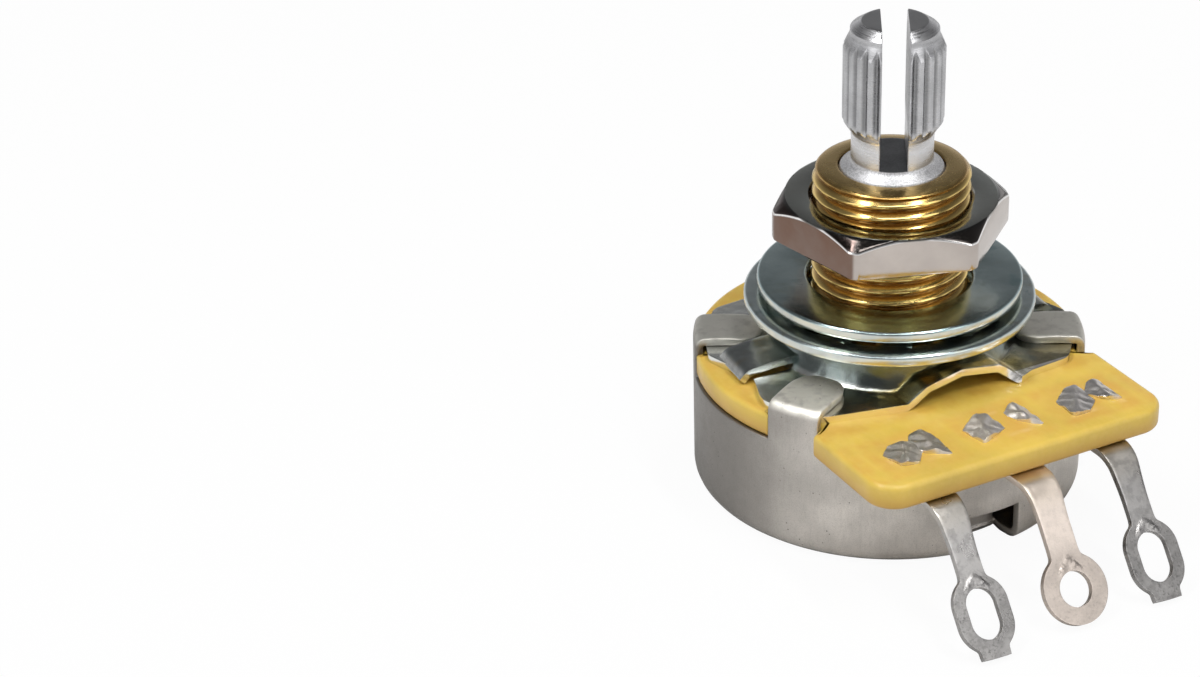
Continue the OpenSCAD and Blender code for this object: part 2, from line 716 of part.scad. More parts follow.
module rotor() {
    arm_low = 1.6;
    reach = 2 * stop_arm_r;
    color([0.36, 0.22, 0.12]) difference() {
        union() {
            translate([0, 0, rotor_z]) cylinder(r = rotor_r, h = rotor_t);
            // Stop arm, opposite the lugs at rest
            translate([0, 0, arm_low]) intersection() {
                difference() {
                    cylinder(r = stop_arm_r, h = rotor_top - arm_low);
                    translate([0, 0, -1]) cylinder(r = rotor_r - 1.2, h = rotor_top);
                }
                linear_extrude(rotor_top - arm_low) polygon([[0, 0],
                    [reach * sin(stop_arm_turn), reach * cos(stop_arm_turn)],
                    [-reach * sin(stop_arm_turn), reach * cos(stop_arm_turn)]]);
            }
        }
        translate([0, 0, rotor_z - 1]) intersection() {
            cylinder(d = journal_d, h = rotor_t + 2);
            translate([-journal_d, -journal_flats / 2, 0])
                cube([2 * journal_d, journal_flats, rotor_t + 2]);
        }
    }
}

// A sprung finger: its side outline rises from the base to the height it touches
module finger(r, w, top) {
    low = rotor_top;
    translate([0, r - w / 2, 0]) rotate([-90, 0, 0]) linear_extrude(w) polygon([
        [-wiper_arm_x, -low], [-wiper_arm_x + wiper_arm_w, -low],
        [-0.3, -top + wiper_t], [0.3, -top + wiper_t], [0.9, -top + 0.5 + wiper_t],
        [1.05, -top + 0.5], [0.35, -top], [-0.35, -top],
        [-wiper_arm_x + wiper_arm_w - 0.1, -low - wiper_t], [-wiper_arm_x, -low - wiper_t]]);
}

module wiper_contact() {
    track_touch = lug_top - wiper_gap;
    collector_touch = lug_under - wiper_gap;
    arm_out = track_mid_r + finger_w + 0.1;
    color([0.78, 0.66, 0.36]) union() {
        translate([0, 0, rotor_top]) difference() {
            cylinder(r = wiper_base_out_r, h = wiper_t);
            translate([0, 0, -1]) cylinder(r = wiper_base_in_r, h = wiper_t + 2);
        }
        translate([-wiper_arm_x, wiper_base_in_r + wiper_arm_w / 2, rotor_top])
            cube([wiper_arm_w, arm_out - wiper_base_in_r - wiper_arm_w / 2, wiper_t]);
        for (s = [-1, 1]) finger(track_mid_r + s * (finger_w / 2 + 0.1), finger_w, track_touch);
        for (a = [0, 180]) rotate(a) finger(collector_mid_r, finger_w, collector_touch);
    }
}

rear_cover();
element_board();
resistive_track();
terminal_left();
terminal_center();
terminal_right();
mounting_plate();
threaded_bushing();
lock_washer();
flat_washer();
hex_nut();
shaft();
retaining_ring();
thrust_washer();
rotor();
wiper_contact();
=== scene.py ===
"""Looks of a panel potentiometer with three solder lugs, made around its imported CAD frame.

The origin is the centre of the can's back, +Z runs along the shaft to its tip, and the lugs
point to -Y.  The formulas work in millimetres, and a mesh gets metres.
"""
import math
from types import SimpleNamespace

import bmesh
import bpy
import numpy as np
from bpy.props import FloatProperty, FloatVectorProperty, IntProperty, PointerProperty
from mathutils import Matrix, Vector


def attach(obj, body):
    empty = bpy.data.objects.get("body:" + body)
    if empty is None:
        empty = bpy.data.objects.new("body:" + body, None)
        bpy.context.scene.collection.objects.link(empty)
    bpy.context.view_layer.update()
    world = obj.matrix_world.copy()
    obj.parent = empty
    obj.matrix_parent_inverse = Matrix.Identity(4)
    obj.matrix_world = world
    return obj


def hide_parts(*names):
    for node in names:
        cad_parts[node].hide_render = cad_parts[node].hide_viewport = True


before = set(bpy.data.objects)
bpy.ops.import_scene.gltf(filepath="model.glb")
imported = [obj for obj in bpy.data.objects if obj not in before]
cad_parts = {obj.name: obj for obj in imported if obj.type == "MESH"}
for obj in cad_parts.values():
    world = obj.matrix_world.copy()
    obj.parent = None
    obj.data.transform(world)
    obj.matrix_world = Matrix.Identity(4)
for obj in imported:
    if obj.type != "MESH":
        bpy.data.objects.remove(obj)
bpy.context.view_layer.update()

bl_info = {
    "name": "Rotary control",
    "version": (1, 0, 0),
    "blender": (4, 5, 0),
    "location": "3D View > Sidebar > Rotary control",
    "description": "Makes the looks of a panel potentiometer piece by piece around its CAD frame",
    "category": "Add Mesh",
}

MM = 0.001
TURN = 2 * math.pi
TAB_ANGLES = np.radians([29.5, 150.5, 209.5, 330.5])
# Level directions from the object toward the camera, and to the camera's right
TOWARD = Vector((-0.4517, -0.8922, 0))
ASIDE = Vector((0.8922, -0.4517, 0))


# Settings

def length(title, description, mm):
    """A length in the scene's units, given here in millimetres."""
    return FloatProperty(name=title, description=description, default=mm * MM, precision=5,
                         unit="LENGTH")


def angle(title, description, degrees):
    """An angle, given here in degrees."""
    return FloatProperty(name=title, description=description, default=math.radians(degrees),
                         unit="ROTATION", subtype="ANGLE")


def colour(title, description, rgb):
    """A finish colour, as linear red, green and blue."""
    return FloatVectorProperty(name=title, description=description, default=rgb, size=3,
                               min=0.0, max=1.0, subtype="COLOR")


class CanSizes(bpy.types.PropertyGroup):
    radius: length("Radius", "Outside radius of the can", 11.9)
    height: length("Height", "Height of the can's wall", 7.15)
    sheet: length("Sheet", "Sheet thickness of the can", 0.5)
    edge: length("Edge", "Outside radius of the edge round the back", 0.9)
    tab_width: length("Tab width", "Width of a fold-over tab", 3.3)
    tab_end: length("Tab end", "Radius that a folded tab's end reaches in to", 7.6)
    tab_top: length("Tab top", "Height of a folded tab's top", 9.7)
    tab_corner: length("Tab corner", "Corner radius at a tab's inner end", 1.3)
    notch: length("Notch", "Half width of the stop notch at the back's edge", 1.8)


class BoardSizes(bpy.types.PropertyGroup):
    radius: length("Radius", "Radius of the board's round edge", 11.8)
    low: length("Low", "Height of the board's under side", 7.15)
    top: length("Top", "Height of the board's top", 8.75)
    half_end: length("Half end", "Half width of the terminal end", 9.95)
    reach: length("Reach", "Distance from the axis to the terminal end's edge", 15.15)
    corner: length("Corner", "Corner radius of the terminal end", 1.8)
    bore: length("Bore", "Radius of the centre hole", 3.9)
    edge: length("Edge", "Rounding of the board's punched edges", 0.36)


class LugSizes(bpy.types.PropertyGroup):
    sheet: length("Sheet", "Sheet thickness of the lugs", 0.4)
    pitch: length("Pitch", "Distance between neighbouring lugs", 5.9)
    top: length("Top", "Height of a lug's upper face under the board", 7.1)
    seat_in: length("Seat start", "Distance from the axis to the clenched part", 10.6)
    seat_out: length("Seat end", "Distance from the axis to the clenched part's end", 13.35)
    seat_half: length("Seat half", "Half width of the clenched part", 1.95)
    stem_half: length("Stem half", "Half width of an outer lug's stem", 0.775)
    stem_mid_half: length("Middle stem half", "Half width of the middle lug's stem", 0.925)
    corner: length("Bend", "Distance from the axis to an outer lug's bend", 15.75)
    corner_mid: length("Middle bend", "Distance from the axis to the middle lug's bend", 16.4)
    turn: angle("Turn", "Bend of the outer lugs", 48.5)
    turn_mid: angle("Middle turn", "Bend of the middle lug", 53.0)
    lean: angle("Lean", "Sideways lean of the outer lugs", 3.2)
    lean_mid: angle("Middle lean", "Sideways lean of the middle lug", 1.0)
    bend: length("Bend radius", "Outside radius of a lug's bend", 2.0)
    flare: length("Flare", "How much wider on each side a stem is at the board", 0.26)
    eye: length("Eye", "Distance along an outer lug from its bend to its eye", 6.4)
    eye_mid: length("Middle eye", "Distance along the middle lug from its bend to its eye", 6.3)


class PlateSizes(bpy.types.PropertyGroup):
    sheet: length("Sheet", "Sheet thickness of the mounting plate", 0.45)
    flange: length("Flange", "Height of the flange's top", 9.2)
    seat: length("Seat", "Height of the round seat", 11.15)
    seat_radius: length("Seat radius", "Radius of the flat seat", 6.0)
    foot: length("Foot", "Radius at the dome's foot", 7.4)
    arch_half: length("Arch half", "Half width of the arch", 3.7)
    arch_rise: length("Arch rise", "Rise of the arch above the flange", 1.3)
    ear_half: length("Ear half", "Half width of a locating ear", 1.55)
    ear_turn: angle("Ear turn", "Turn of the ears from the X axis", -5.5)


class ThreadSizes(bpy.types.PropertyGroup):
    radius: length("Radius", "Outer radius of the bushing's thread", 4.7625)
    pitch: length("Pitch", "Pitch of the bushing's thread", 0.794)
    depth: length("Depth", "Depth of the thread", 0.44)
    bore: length("Bore", "Radius of the bushing's bore", 3.2)
    low: length("Low", "Height where the thread starts", 11.15)
    top: length("Top", "Height of the bushing's top", 20.35)
    chamfer: length("Chamfer", "Chamfer at the bushing's top", 0.26)
    start: FloatProperty(name="Start", description="Where in its turn the thread starts",
                         default=0.388, min=0.0, max=1.0)


class WasherSizes(bpy.types.PropertyGroup):
    flat_radius: length("Flat radius", "Outer radius of the flat washer", 8.0)
    flat_bore: length("Flat bore", "Hole radius of the flat washer", 5.0)
    flat_low: length("Flat low", "Height of the flat washer's under side", 12.70)
    flat_top: length("Flat top", "Height of the flat washer's top", 13.40)
    lock_radius: length("Lock radius", "Outer radius of the lock washer", 8.8)
    lock_rim: length("Lock rim", "Inner radius of the lock washer's rim", 7.3)
    lock_tip: length("Lock tip", "Radius at the teeth's tips", 5.1)
    lock_mid: length("Lock middle", "Height of the lock washer's middle", 11.925)
    lock_sheet: length("Lock sheet", "Thickness of the lock washer", 0.7)
    tooth_half: length("Tooth half", "Half width of a tooth", 1.05)
    tooth_twist: angle("Tooth twist", "Twist of each tooth", 26.0)
    teeth: IntProperty(name="Teeth", description="Number of teeth", default=12, min=3)


class NutSizes(bpy.types.PropertyGroup):
    half_flats: length("Half flats", "Half the width across the flats", 6.35)
    corner: length("Corner", "Radius that the corners are cut to", 7.17)
    low: length("Low", "Height of the nut's under side", 16.26)
    top: length("Top", "Height of the nut's top", 18.64)
    bore: length("Bore", "Radius of the nut's bore", 4.79)
    face: length("Face", "Radius where the top chamfer starts", 6.32)
    turn: angle("Turn", "Turn of the nut about the shaft", 39.9)


class ShaftSizes(bpy.types.PropertyGroup):
    radius: length("Radius", "Radius of the shaft in the bushing", 3.175)
    shoulder: length("Shoulder", "Height of the shaft's shoulder", 20.55)
    neck: length("Neck", "Radius of the neck", 2.45)
    neck_top: length("Neck top", "Height of the neck's top", 22.75)
    knurl: length("Knurl", "Outer radius of the knurl", 3.0)
    knurl_low: length("Knurl low", "Height where the knurl starts", 23.6)
    knurl_top: length("Knurl top", "Height where the knurl ends", 28.1)
    tip: length("Tip", "Height of the shaft's tip", 29.7)
    groove: length("Groove", "Depth of a knurl groove", 0.24)
    slot_half: length("Slot half", "Half width of the slot", 0.81)
    slot_floor: length("Slot floor", "Height of the slot's floor", 21.1)
    slot_turn: angle("Slot turn", "Turn of the slot from the Y axis", 30.6)
    grooves: IntProperty(name="Grooves", description="Grooves round the knurl", default=24)


class FinishColours(bpy.types.PropertyGroup):
    can: colour("Can", "Satin plated steel of the can", (0.60, 0.565, 0.52))
    board: colour("Board", "Waxed phenolic paper board", (0.60, 0.42, 0.070))
    track: colour("Track", "Printed carbon track", (0.010, 0.009, 0.009))
    lug: colour("Lug", "Tin of the outer lugs", (0.34, 0.33, 0.322))
    lug_mid: colour("Middle lug", "Tin of the middle lug and its ring", (0.58, 0.51, 0.455))
    plate: colour("Plate", "Zinc plate of the mounting plate", (0.44, 0.47, 0.46))
    brass: colour("Brass", "Brass of the bushing", (0.80, 0.58, 0.21))
    washer: colour("Washer", "Zinc plate of the washers", (0.52, 0.57, 0.57))
    nut: colour("Nut", "Nickel plate of the nut", (0.39, 0.35, 0.32))
    shaft: colour("Shaft", "Bare aluminium of the shaft", (0.53, 0.53, 0.54))
    spring: colour("Spring", "Spring steel of the ring and thrust washer", (0.30, 0.30, 0.31))
    rotor: colour("Rotor", "Phenolic of the rotor", (0.10, 0.045, 0.020))
    wiper: colour("Wiper", "Bronze of the wiper", (0.62, 0.42, 0.18))


class StudioSizes(bpy.types.PropertyGroup):
    lens: FloatProperty(name="Lens", description="Focal length in millimetres",
                        default=88.8735, precision=3, unit="CAMERA")
    side: angle("Side", "Turn of the view about the vertical", 26.8547)
    rise: angle("Rise", "Height of the camera above the level view", 28.4997)
    roll: angle("Roll", "Roll of the camera about its view", -1.7027)
    distance: length("Distance", "Distance from the camera to the object", 180.406)
    right: length("Right", "How far right of the frame's middle the object stands", 17.5565)
    above: length("Above", "How far above the frame's middle the object stands", 1.0883)


class ControlSettings(bpy.types.PropertyGroup):
    can: PointerProperty(type=CanSizes, name="Can", description="Sizes of the can")
    board: PointerProperty(type=BoardSizes, name="Board", description="Sizes of the board")
    lugs: PointerProperty(type=LugSizes, name="Lugs", description="Sizes of the solder lugs")
    plate: PointerProperty(type=PlateSizes, name="Plate", description="Sizes of the plate")
    thread: PointerProperty(type=ThreadSizes, name="Bushing", description="Bushing sizes")
    washers: PointerProperty(type=WasherSizes, name="Washers", description="Washer sizes")
    nut: PointerProperty(type=NutSizes, name="Nut", description="Sizes of the hex nut")
    shaft: PointerProperty(type=ShaftSizes, name="Shaft", description="Sizes of the shaft")
    colours: PointerProperty(type=FinishColours, name="Colours", description="Finish colours")
    studio: PointerProperty(type=StudioSizes, name="Studio", description="Camera and light")


def sizes(context, part):
    """A part's lengths in millimetres and its other settings as they are."""
    group = getattr(context.scene.rotary_control, part)
    units = group.bl_rna.properties
    return SimpleNamespace(**{
        key: getattr(group, key) / MM if units[key].unit == "LENGTH" else getattr(group, key)
        for key in type(group).__annotations__})


# Surfaces

def smooth_step(t):
    """Eases from 0 to 1: three times the square less twice the cube, held outside 0 to 1."""
    t = np.clip(t, 0.0, 1.0)
    return t * t * (3 - 2 * t)


def soft_max(a, b, blend):
    """The larger of two values, rounded over where they meet: the log of their summed powers."""
    return blend * np.logaddexp(a / blend, b / blend)


def soft_min(a, b, blend):
    """The smaller of two values, rounded over where they meet."""
    return -soft_max(-a, -b, blend)


def lattice(x, y, z):
    """A grid of points from its coordinates, each spread over the grid's rows and columns."""
    return np.stack(np.broadcast_arrays(x, y, z), -1)


def polar(r, angles, z):
    """A grid of points about the axis: radius times cos, radius times sin, and height."""
    return lattice(r * np.cos(angles), r * np.sin(angles), z)


def revolved(profile, angles):
    """A profile of radius and height carried round the axis."""
    r, z = np.asarray(profile, float).T[:, :, None]
    return polar(r, angles, z)


def rotated(points, turn):
    """Points turned about the Z axis."""
    c, s = math.cos(turn), math.sin(turn)
    return points @ np.array([[c, s, 0], [-s, c, 0], [0, 0, 1]])


def around(count):
    """Even angles round a full turn."""
    return np.arange(count) * TURN / count


def arc(centre, radius, start, end, steps):
    """Points on a circle between two angles in degrees: centre plus radius times cos and sin."""
    a = np.radians(np.linspace(start, end, steps))
    return np.stack([centre[0] + radius * np.cos(a), centre[1] + radius * np.sin(a)], -1)


def filleted(corners, radii, steps=6, closed=False):
    """A polyline with arcs at its corners.  Each arc touches both sides at the radius over the
    tangent of half the corner's angle, and its points turn evenly about the arc's centre."""
    p = np.asarray(corners, float)
    radius = np.broadcast_to(np.asarray(radii, float), len(p))[:, None, None]
    to_last = np.roll(p, 1, 0) - p
    to_next = np.roll(p, -1, 0) - p
    to_last /= np.linalg.norm(to_last, axis=1, keepdims=True)
    to_next /= np.linalg.norm(to_next, axis=1, keepdims=True)
    half = 0.5 * np.arccos(np.clip((to_last * to_next).sum(1), -0.999999, 0.999999))
    middle = to_last + to_next
    middle /= np.maximum(np.linalg.norm(middle, axis=1, keepdims=True), 1e-9)
    half = half[:, None, None]
    centre = p[:, None] + middle[:, None] * radius / np.sin(half)
    first = p[:, None] + to_last[:, None] * radius / np.tan(half) - centre
    last = p[:, None] + to_next[:, None] * radius / np.tan(half) - centre
    sweep = np.pi - 2 * half
    k = np.linspace(0, 1, steps)[None, :, None]
    turned = (np.sin((1 - k) * sweep) * first + np.sin(k * sweep) * last) / np.sin(sweep)
    points = np.where(radius > 0, centre + turned, p[:, None] + 0 * k)
    if closed:
        return points.reshape(-1, 2)
    return np.concatenate([p[:1], points[1:-1].reshape(-1, 2), p[-1:]])


def resampled(path, count):
    """A path's points at even steps of its length."""
    steps = np.r_[0, np.cumsum(np.linalg.norm(np.diff(path, axis=0), axis=1))]
    at = np.linspace(0, steps[-1], count)
    return np.stack([np.interp(at, steps, path[:, i]) for i in range(path.shape[1])], -1)


class Skin:
    """Grids of points in millimetres, gathered into one mesh."""

    def __init__(self):
        self.points, self.faces, self.count = [], [], 0

    def grid(self, points, close_rows=False, close_cols=False, keep=None):
        """Joins every point of a grid to its next row and next column with a quad."""
        rows, cols = points.shape[:2]
        i = np.arange(rows if close_rows else rows - 1)[:, None]
        j = np.arange(cols if close_cols else cols - 1)[None, :]
        below, right = (i + 1) % rows, (j + 1) % cols
        quads = np.stack(np.broadcast_arrays(
            i * cols + j, i * cols + right, below * cols + right, below * cols + j), -1)
        quads = quads[keep] if keep is not None else quads
        self.points.append(points.reshape(-1, 3))
        self.faces.append(quads.reshape(-1, 4) + self.count)
        self.count += rows * cols
        return self

    def band(self, points):
        """Adds a grid that closes on itself both ways."""
        return self.grid(points, close_rows=True, close_cols=True)

    def mesh(self, name):
        """The gathered grids as a mesh in metres."""
        mesh = bpy.data.meshes.new(name)
        mesh.from_pydata(np.concatenate(self.points) * MM, [],
                         np.concatenate(self.faces).tolist())
        return mesh

    def piece(self, name, body, slot, nodes=(), sheet=0.0, bevel=0.0, steps=2, flats=False):
        """Makes the object: doubles merged, faces outward, sheet and edges finished, and set
        on its body in place of its CAD nodes."""
        mesh = self.mesh(name)
        work = bmesh.new()
        work.from_mesh(mesh)
        bmesh.ops.remove_doubles(work, verts=work.verts, dist=0.001 * MM)
        bmesh.ops.delete(work, geom=[v for v in work.verts if not v.link_faces],
                         context="VERTS")
        bmesh.ops.recalc_face_normals(work, faces=work.faces)
        work.to_mesh(mesh)
        work.free()
        mesh.shade_smooth()
        obj = shown(name, mesh)
        if sheet:
            wall = obj.modifiers.new("Sheet", "SOLIDIFY")
            wall.thickness, wall.offset, wall.use_even_offset = sheet * MM, 0.0, True
        if bevel:
            edge = obj.modifiers.new("Edges", "BEVEL")
            edge.width, edge.segments = bevel * MM, steps
            edge.limit_method, edge.angle_limit = "ANGLE", math.radians(50)
        if sheet or bevel or flats:
            flat = obj.modifiers.new("Flats", "WEIGHTED_NORMAL")
            flat.keep_sharp = True
        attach(obj, body)
        if nodes:
            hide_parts(*nodes)
        return obj


def shown(name, data):
    """A new object of a mesh, lamp or camera, in the scene."""
    obj = bpy.data.objects.new(name, data)
    bpy.context.scene.collection.objects.link(obj)
    return obj


# Materials

class Value:
    """One output of a tree's nodes, with Python's signs for its arithmetic."""

    def __init__(self, tree, socket):
        self.tree, self.socket = tree, socket

    def __add__(self, other):
        return self.tree.maths("ADD", self, other)

    def __sub__(self, other):
        return self.tree.maths("SUBTRACT", self, other)

    def __rsub__(self, other):
        return self.tree.maths("SUBTRACT", other, self)

    def __mul__(self, other):
        return self.tree.maths("MULTIPLY", self, other)

    def __pow__(self, other):
        return self.tree.maths("POWER", self, other)

    def __mod__(self, other):
        return self.tree.maths("FLOORED_MODULO", self, other)

    def __abs__(self):
        return self.tree.maths("ABSOLUTE", self)

    __radd__, __rmul__ = __add__, __mul__

    def ease(self, low, high, start=0.0, end=1.0):
        """Runs smoothly from start to end as this value goes from low to high."""
        return self.tree.node("ShaderNodeMapRange", {"interpolation_type": "SMOOTHSTEP"}, {
            "Value": self, "From Min": low, "From Max": high, "To Min": start, "To Max": end})


class Tree:
    """The nodes of a material or a world."""

    def __init__(self, owner):
        owner.use_nodes = True
        self.owner, self.nodes = owner, owner.node_tree
        self.nodes.nodes.clear()

    def node(self, kind, settings=None, sockets=None, output=0):
        """Adds a node: its settings first, then the values or links of its sockets."""
        node = self.nodes.nodes.new(kind)
        for key, value in (settings or {}).items():
            if key == "stops":
                ramp = node.color_ramp.elements
                ends = ((ramp[0], value[0]), (ramp[1], value[-1]))
                for end, (place, rgb) in ends:
                    end.position, end.color = place, (*rgb, 1.0)
                for place, rgb in value[1:-1]:
                    ramp.new(place).color = (*rgb, 1.0)
            else:
                setattr(node, key, value)
        for key, value in (sockets or {}).items():
            if isinstance(value, Value):
                self.nodes.links.new(value.socket, node.inputs[key])
            else:
                node.inputs[key].default_value = value
        return node if output is None else Value(self, node.outputs[output])

    def maths(self, operation, *values):
        """A Math node on numbers and values, by its operation's name."""
        return self.node("ShaderNodeMath", {"operation": operation}, dict(enumerate(values)))

    def split(self, vector):
        """The three numbers of a vector."""
        node = self.node("ShaderNodeSeparateXYZ", None, {0: vector}, output=None)
        return [Value(self, each) for each in node.outputs]

    def blend(self, factor, a, b):
        """Mixes two colours."""
        a, b = (c if isinstance(c, Value) else (*c, 1.0) for c in (a, b))
        return self.node("ShaderNodeMix", {"data_type": "RGBA"}, {0: factor, 6: a, 7: b},
                         output=2)


class Finish(Tree):
    """A procedural material on Object coordinates, whose patterns are sized in millimetres.
    Its base colour is a tone with other colours painted over it one after another."""

    def __init__(self, name):
        super().__init__(bpy.data.materials.new(name))
        place = self.node("ShaderNodeTexCoord", output="Object")
        self.place = self.node("ShaderNodeVectorMath", {"operation": "SCALE"},
                               {0: place, "Scale": 1 / MM})
        self.x, self.y, self.z = self.split(self.place)
        self.base = None

    def radius(self):
        """Distance from the shaft's axis: the root of the summed squares of x and y."""
        return (self.x ** 2.0 + self.y ** 2.0) ** 0.5

    def along(self, direction):
        """Distance from the axis along a level direction."""
        return self.x * direction[0] + self.y * direction[1]

    def stretched(self, scale):
        """Object coordinates multiplied by a number for each axis."""
        return self.node("ShaderNodeVectorMath", {"operation": "MULTIPLY"},
                         {0: self.place, 1: scale})

    def noise(self, size, detail=3.0, rough=0.55, place=None, seed=0.0):
        """Soft noise from 0 to 1 whose blots are about that many millimetres across."""
        return self.node("ShaderNodeTexNoise", {"noise_dimensions": "4D"}, {
            "Vector": place or self.place, "W": seed, "Scale": 1 / size, "Detail": detail,
            "Roughness": rough})

    def specks(self, size):
        """Distance to the nearest of many scattered points, in cells of that size."""
        return self.node("ShaderNodeTexVoronoi", {"feature": "F1"}, {
            "Vector": self.place, "Scale": 1 / size})

    def tone(self, mask, rgb, dark, pale):
        """Starts the base: a colour times dark where the mask is 0, and times pale at 1."""
        self.base = self.blend(mask, tint(rgb, dark), tint(rgb, pale))

    def paint(self, mask, rgb):
        """Lays a colour over the base where the mask is 1."""
        self.base = self.blend(mask, self.base, rgb)

    def bump(self, height, strength, distance, normal=None):
        """A Normal from a height in which 1 is the given number of millimetres."""
        sockets = {"Height": height, "Strength": strength, "Distance": distance * MM}
        if normal:
            sockets["Normal"] = normal
        return self.node("ShaderNodeBump", None, sockets)

    def surface(self, roughness, normal, metallic=1.0, **others):
        """The painted material.  An underscore stands for a space in another socket's name."""
        sockets = {key.replace("_", " "): value for key, value in others.items()}
        sockets.update({"Base Color": self.base, "Metallic": metallic,
                        "Roughness": roughness, "Normal": normal})
        return self.finished(self.node("ShaderNodeBsdfPrincipled", None, sockets))

    def finished(self, shader):
        """Joins a shader to the material's output."""
        self.node("ShaderNodeOutputMaterial", None, {"Surface": shader}, output=None)
        return self.owner


def tint(rgb, factor):
    """A colour made darker or lighter."""
    return tuple(min(1.0, c * factor) for c in rgb)


def dress(obj, material):
    """Puts a material on an object's slots, or gives it its first one."""
    if not obj.data.materials:
        obj.data.materials.append(material)
    for i in range(len(obj.data.materials)):
        obj.data.materials[i] = material


class PieceMaker:
    """What every piece's operator shares."""
    bl_options = {"REGISTER", "UNDO"}

    def colours(self, context):
        group = context.scene.rotary_control.colours
        return SimpleNamespace(**{key: tuple(getattr(group, key))
                                  for key in type(group).__annotations__})


# Can

# Heights where the rim's openings start and the stop notch ends, and its reach inward
OPENING_LOW, NOTCH_TOP, NOTCH_IN = 6.45, 2.7, 2.1


def can_profile(s):
    """Radius and height of the can's middle surface: a back pressed in by a sheet's third, a
    rounded edge and a wall."""
    half = s.sheet / 2
    wall, edge = s.radius - half, s.edge - half
    back_r = np.r_[np.linspace(0, 9.0, 26), 9.4, s.radius - NOTCH_IN,
                   np.linspace(s.radius - 1.8, wall - edge, 5)]
    pressed_in, pressed_r = 0.16, 10.3
    back_z = half + pressed_in * smooth_step((pressed_r - back_r) / 0.5)
    corner = arc((wall - edge, half + edge), edge, -90, 0, 7)[1:]
    rise = np.r_[np.linspace(half + edge + 0.25, NOTCH_TOP, 4),
                 np.linspace(3.4, OPENING_LOW, 5), 6.8, s.height]
    return np.concatenate([np.stack([back_r, back_z], -1), corner,
                           np.stack([wall + 0 * rise, rise], -1)])


def apart(angles, others):
    """Distance round the circle from each angle to the nearest of the others."""
    return np.abs((angles[:, None] - others + math.pi) % TURN - math.pi).min(1)


def can_skin(s):
    """The can's middle surface: its profile of radius and height carried round the axis, with
    the rim's openings and the stop notch left out, and four tabs folded in over the plate."""
    wall = s.radius - s.sheet / 2
    profile = can_profile(s)
    # Openings in the rim for the three lugs, as distances across them, and the stop notch
    openings = np.arccos(np.array([(-2.4, 2.4), (-7.45, -3.75), (3.75, 7.45)]) / wall)
    openings = np.sort(TURN - openings, 1)
    notch = 1.5 * math.pi + np.array([-1, 1]) * math.asin(s.notch / wall)
    # Even angles, cleared beside the tabs and the marks, which are exact
    across = np.linspace(-s.tab_width / 2, s.tab_width / 2, 11)
    marks = np.concatenate([np.ravel(openings), notch,
                            *[a + np.arcsin(across / wall) for a in TAB_ANGLES]]) % TURN
    even = around(240)
    even = even[apart(even, TAB_ANGLES) > math.asin(s.tab_width / 2 / wall)]
    angles = np.sort(np.r_[even[apart(even, marks) > 0.006], marks])
    mid_angle = (angles + (np.roll(angles, -1) - angles) % TURN / 2) % TURN
    mid_r, mid_z = ((profile[1:] + profile[:-1]) / 2).T[:, :, None]
    in_notch = (mid_angle > notch[0]) & (mid_angle < notch[1])
    keep = ~(in_notch & (mid_r > s.radius - NOTCH_IN) & (mid_z < NOTCH_TOP))
    for low, high in openings:
        keep &= ~((mid_angle > low) & (mid_angle < high) & (mid_z > OPENING_LOW))
    result = Skin().grid(revolved(profile, angles), close_cols=True, keep=keep)
    for a in TAB_ANGLES:
        result.grid(rotated(tab_skin(s, across, wall), a))
    return result


def tab_skin(s, across, wall):
    """A tab: straight up the wall, round the fold, and in to its rounded end, crowned by a
    sine along it and drooping by the square of the way across."""
    half = s.sheet / 2
    fold = 0.65 - half
    flat_z = s.tab_top - half
    out = np.sqrt(wall * wall - across * across)
    past = np.maximum(np.abs(across) - (s.tab_width / 2 - s.tab_corner), 0)
    end = s.tab_end + s.tab_corner - np.sqrt(np.maximum(s.tab_corner ** 2 - past ** 2, 0))
    up = np.linspace(s.height, flat_z - fold, 5)[:, None]
    turn = np.radians(np.linspace(0, 90, 8))[1:, None]
    run = np.linspace(0, 1, 11)[1:, None]
    r = np.concatenate([out + 0 * up, out - fold + fold * np.cos(turn),
                        (out - fold) * (1 - run) + end * run])
    crown = 0.05 * np.sin(run * math.pi) - 0.05 * (across / s.tab_width * 2) ** 2 * run
    z = np.concatenate([up + 0 * out, flat_z - fold + fold * np.sin(turn) + 0 * out,
                        flat_z + crown + 0 * out])
    return lattice(r, across, z)


def tongue_skin():
    """The stop tongue: a strip carried up a path from the back's edge into the can."""
    path = resampled(filleted([(-9.75, 0.27), (-9.55, 0.27), (-9.55, 3.7)], [0, 0.18, 0]), 14)
    y, z = path.T[:, :, None]
    return Skin().grid(lattice(np.linspace(-1.4, 1.4, 7), y, z))


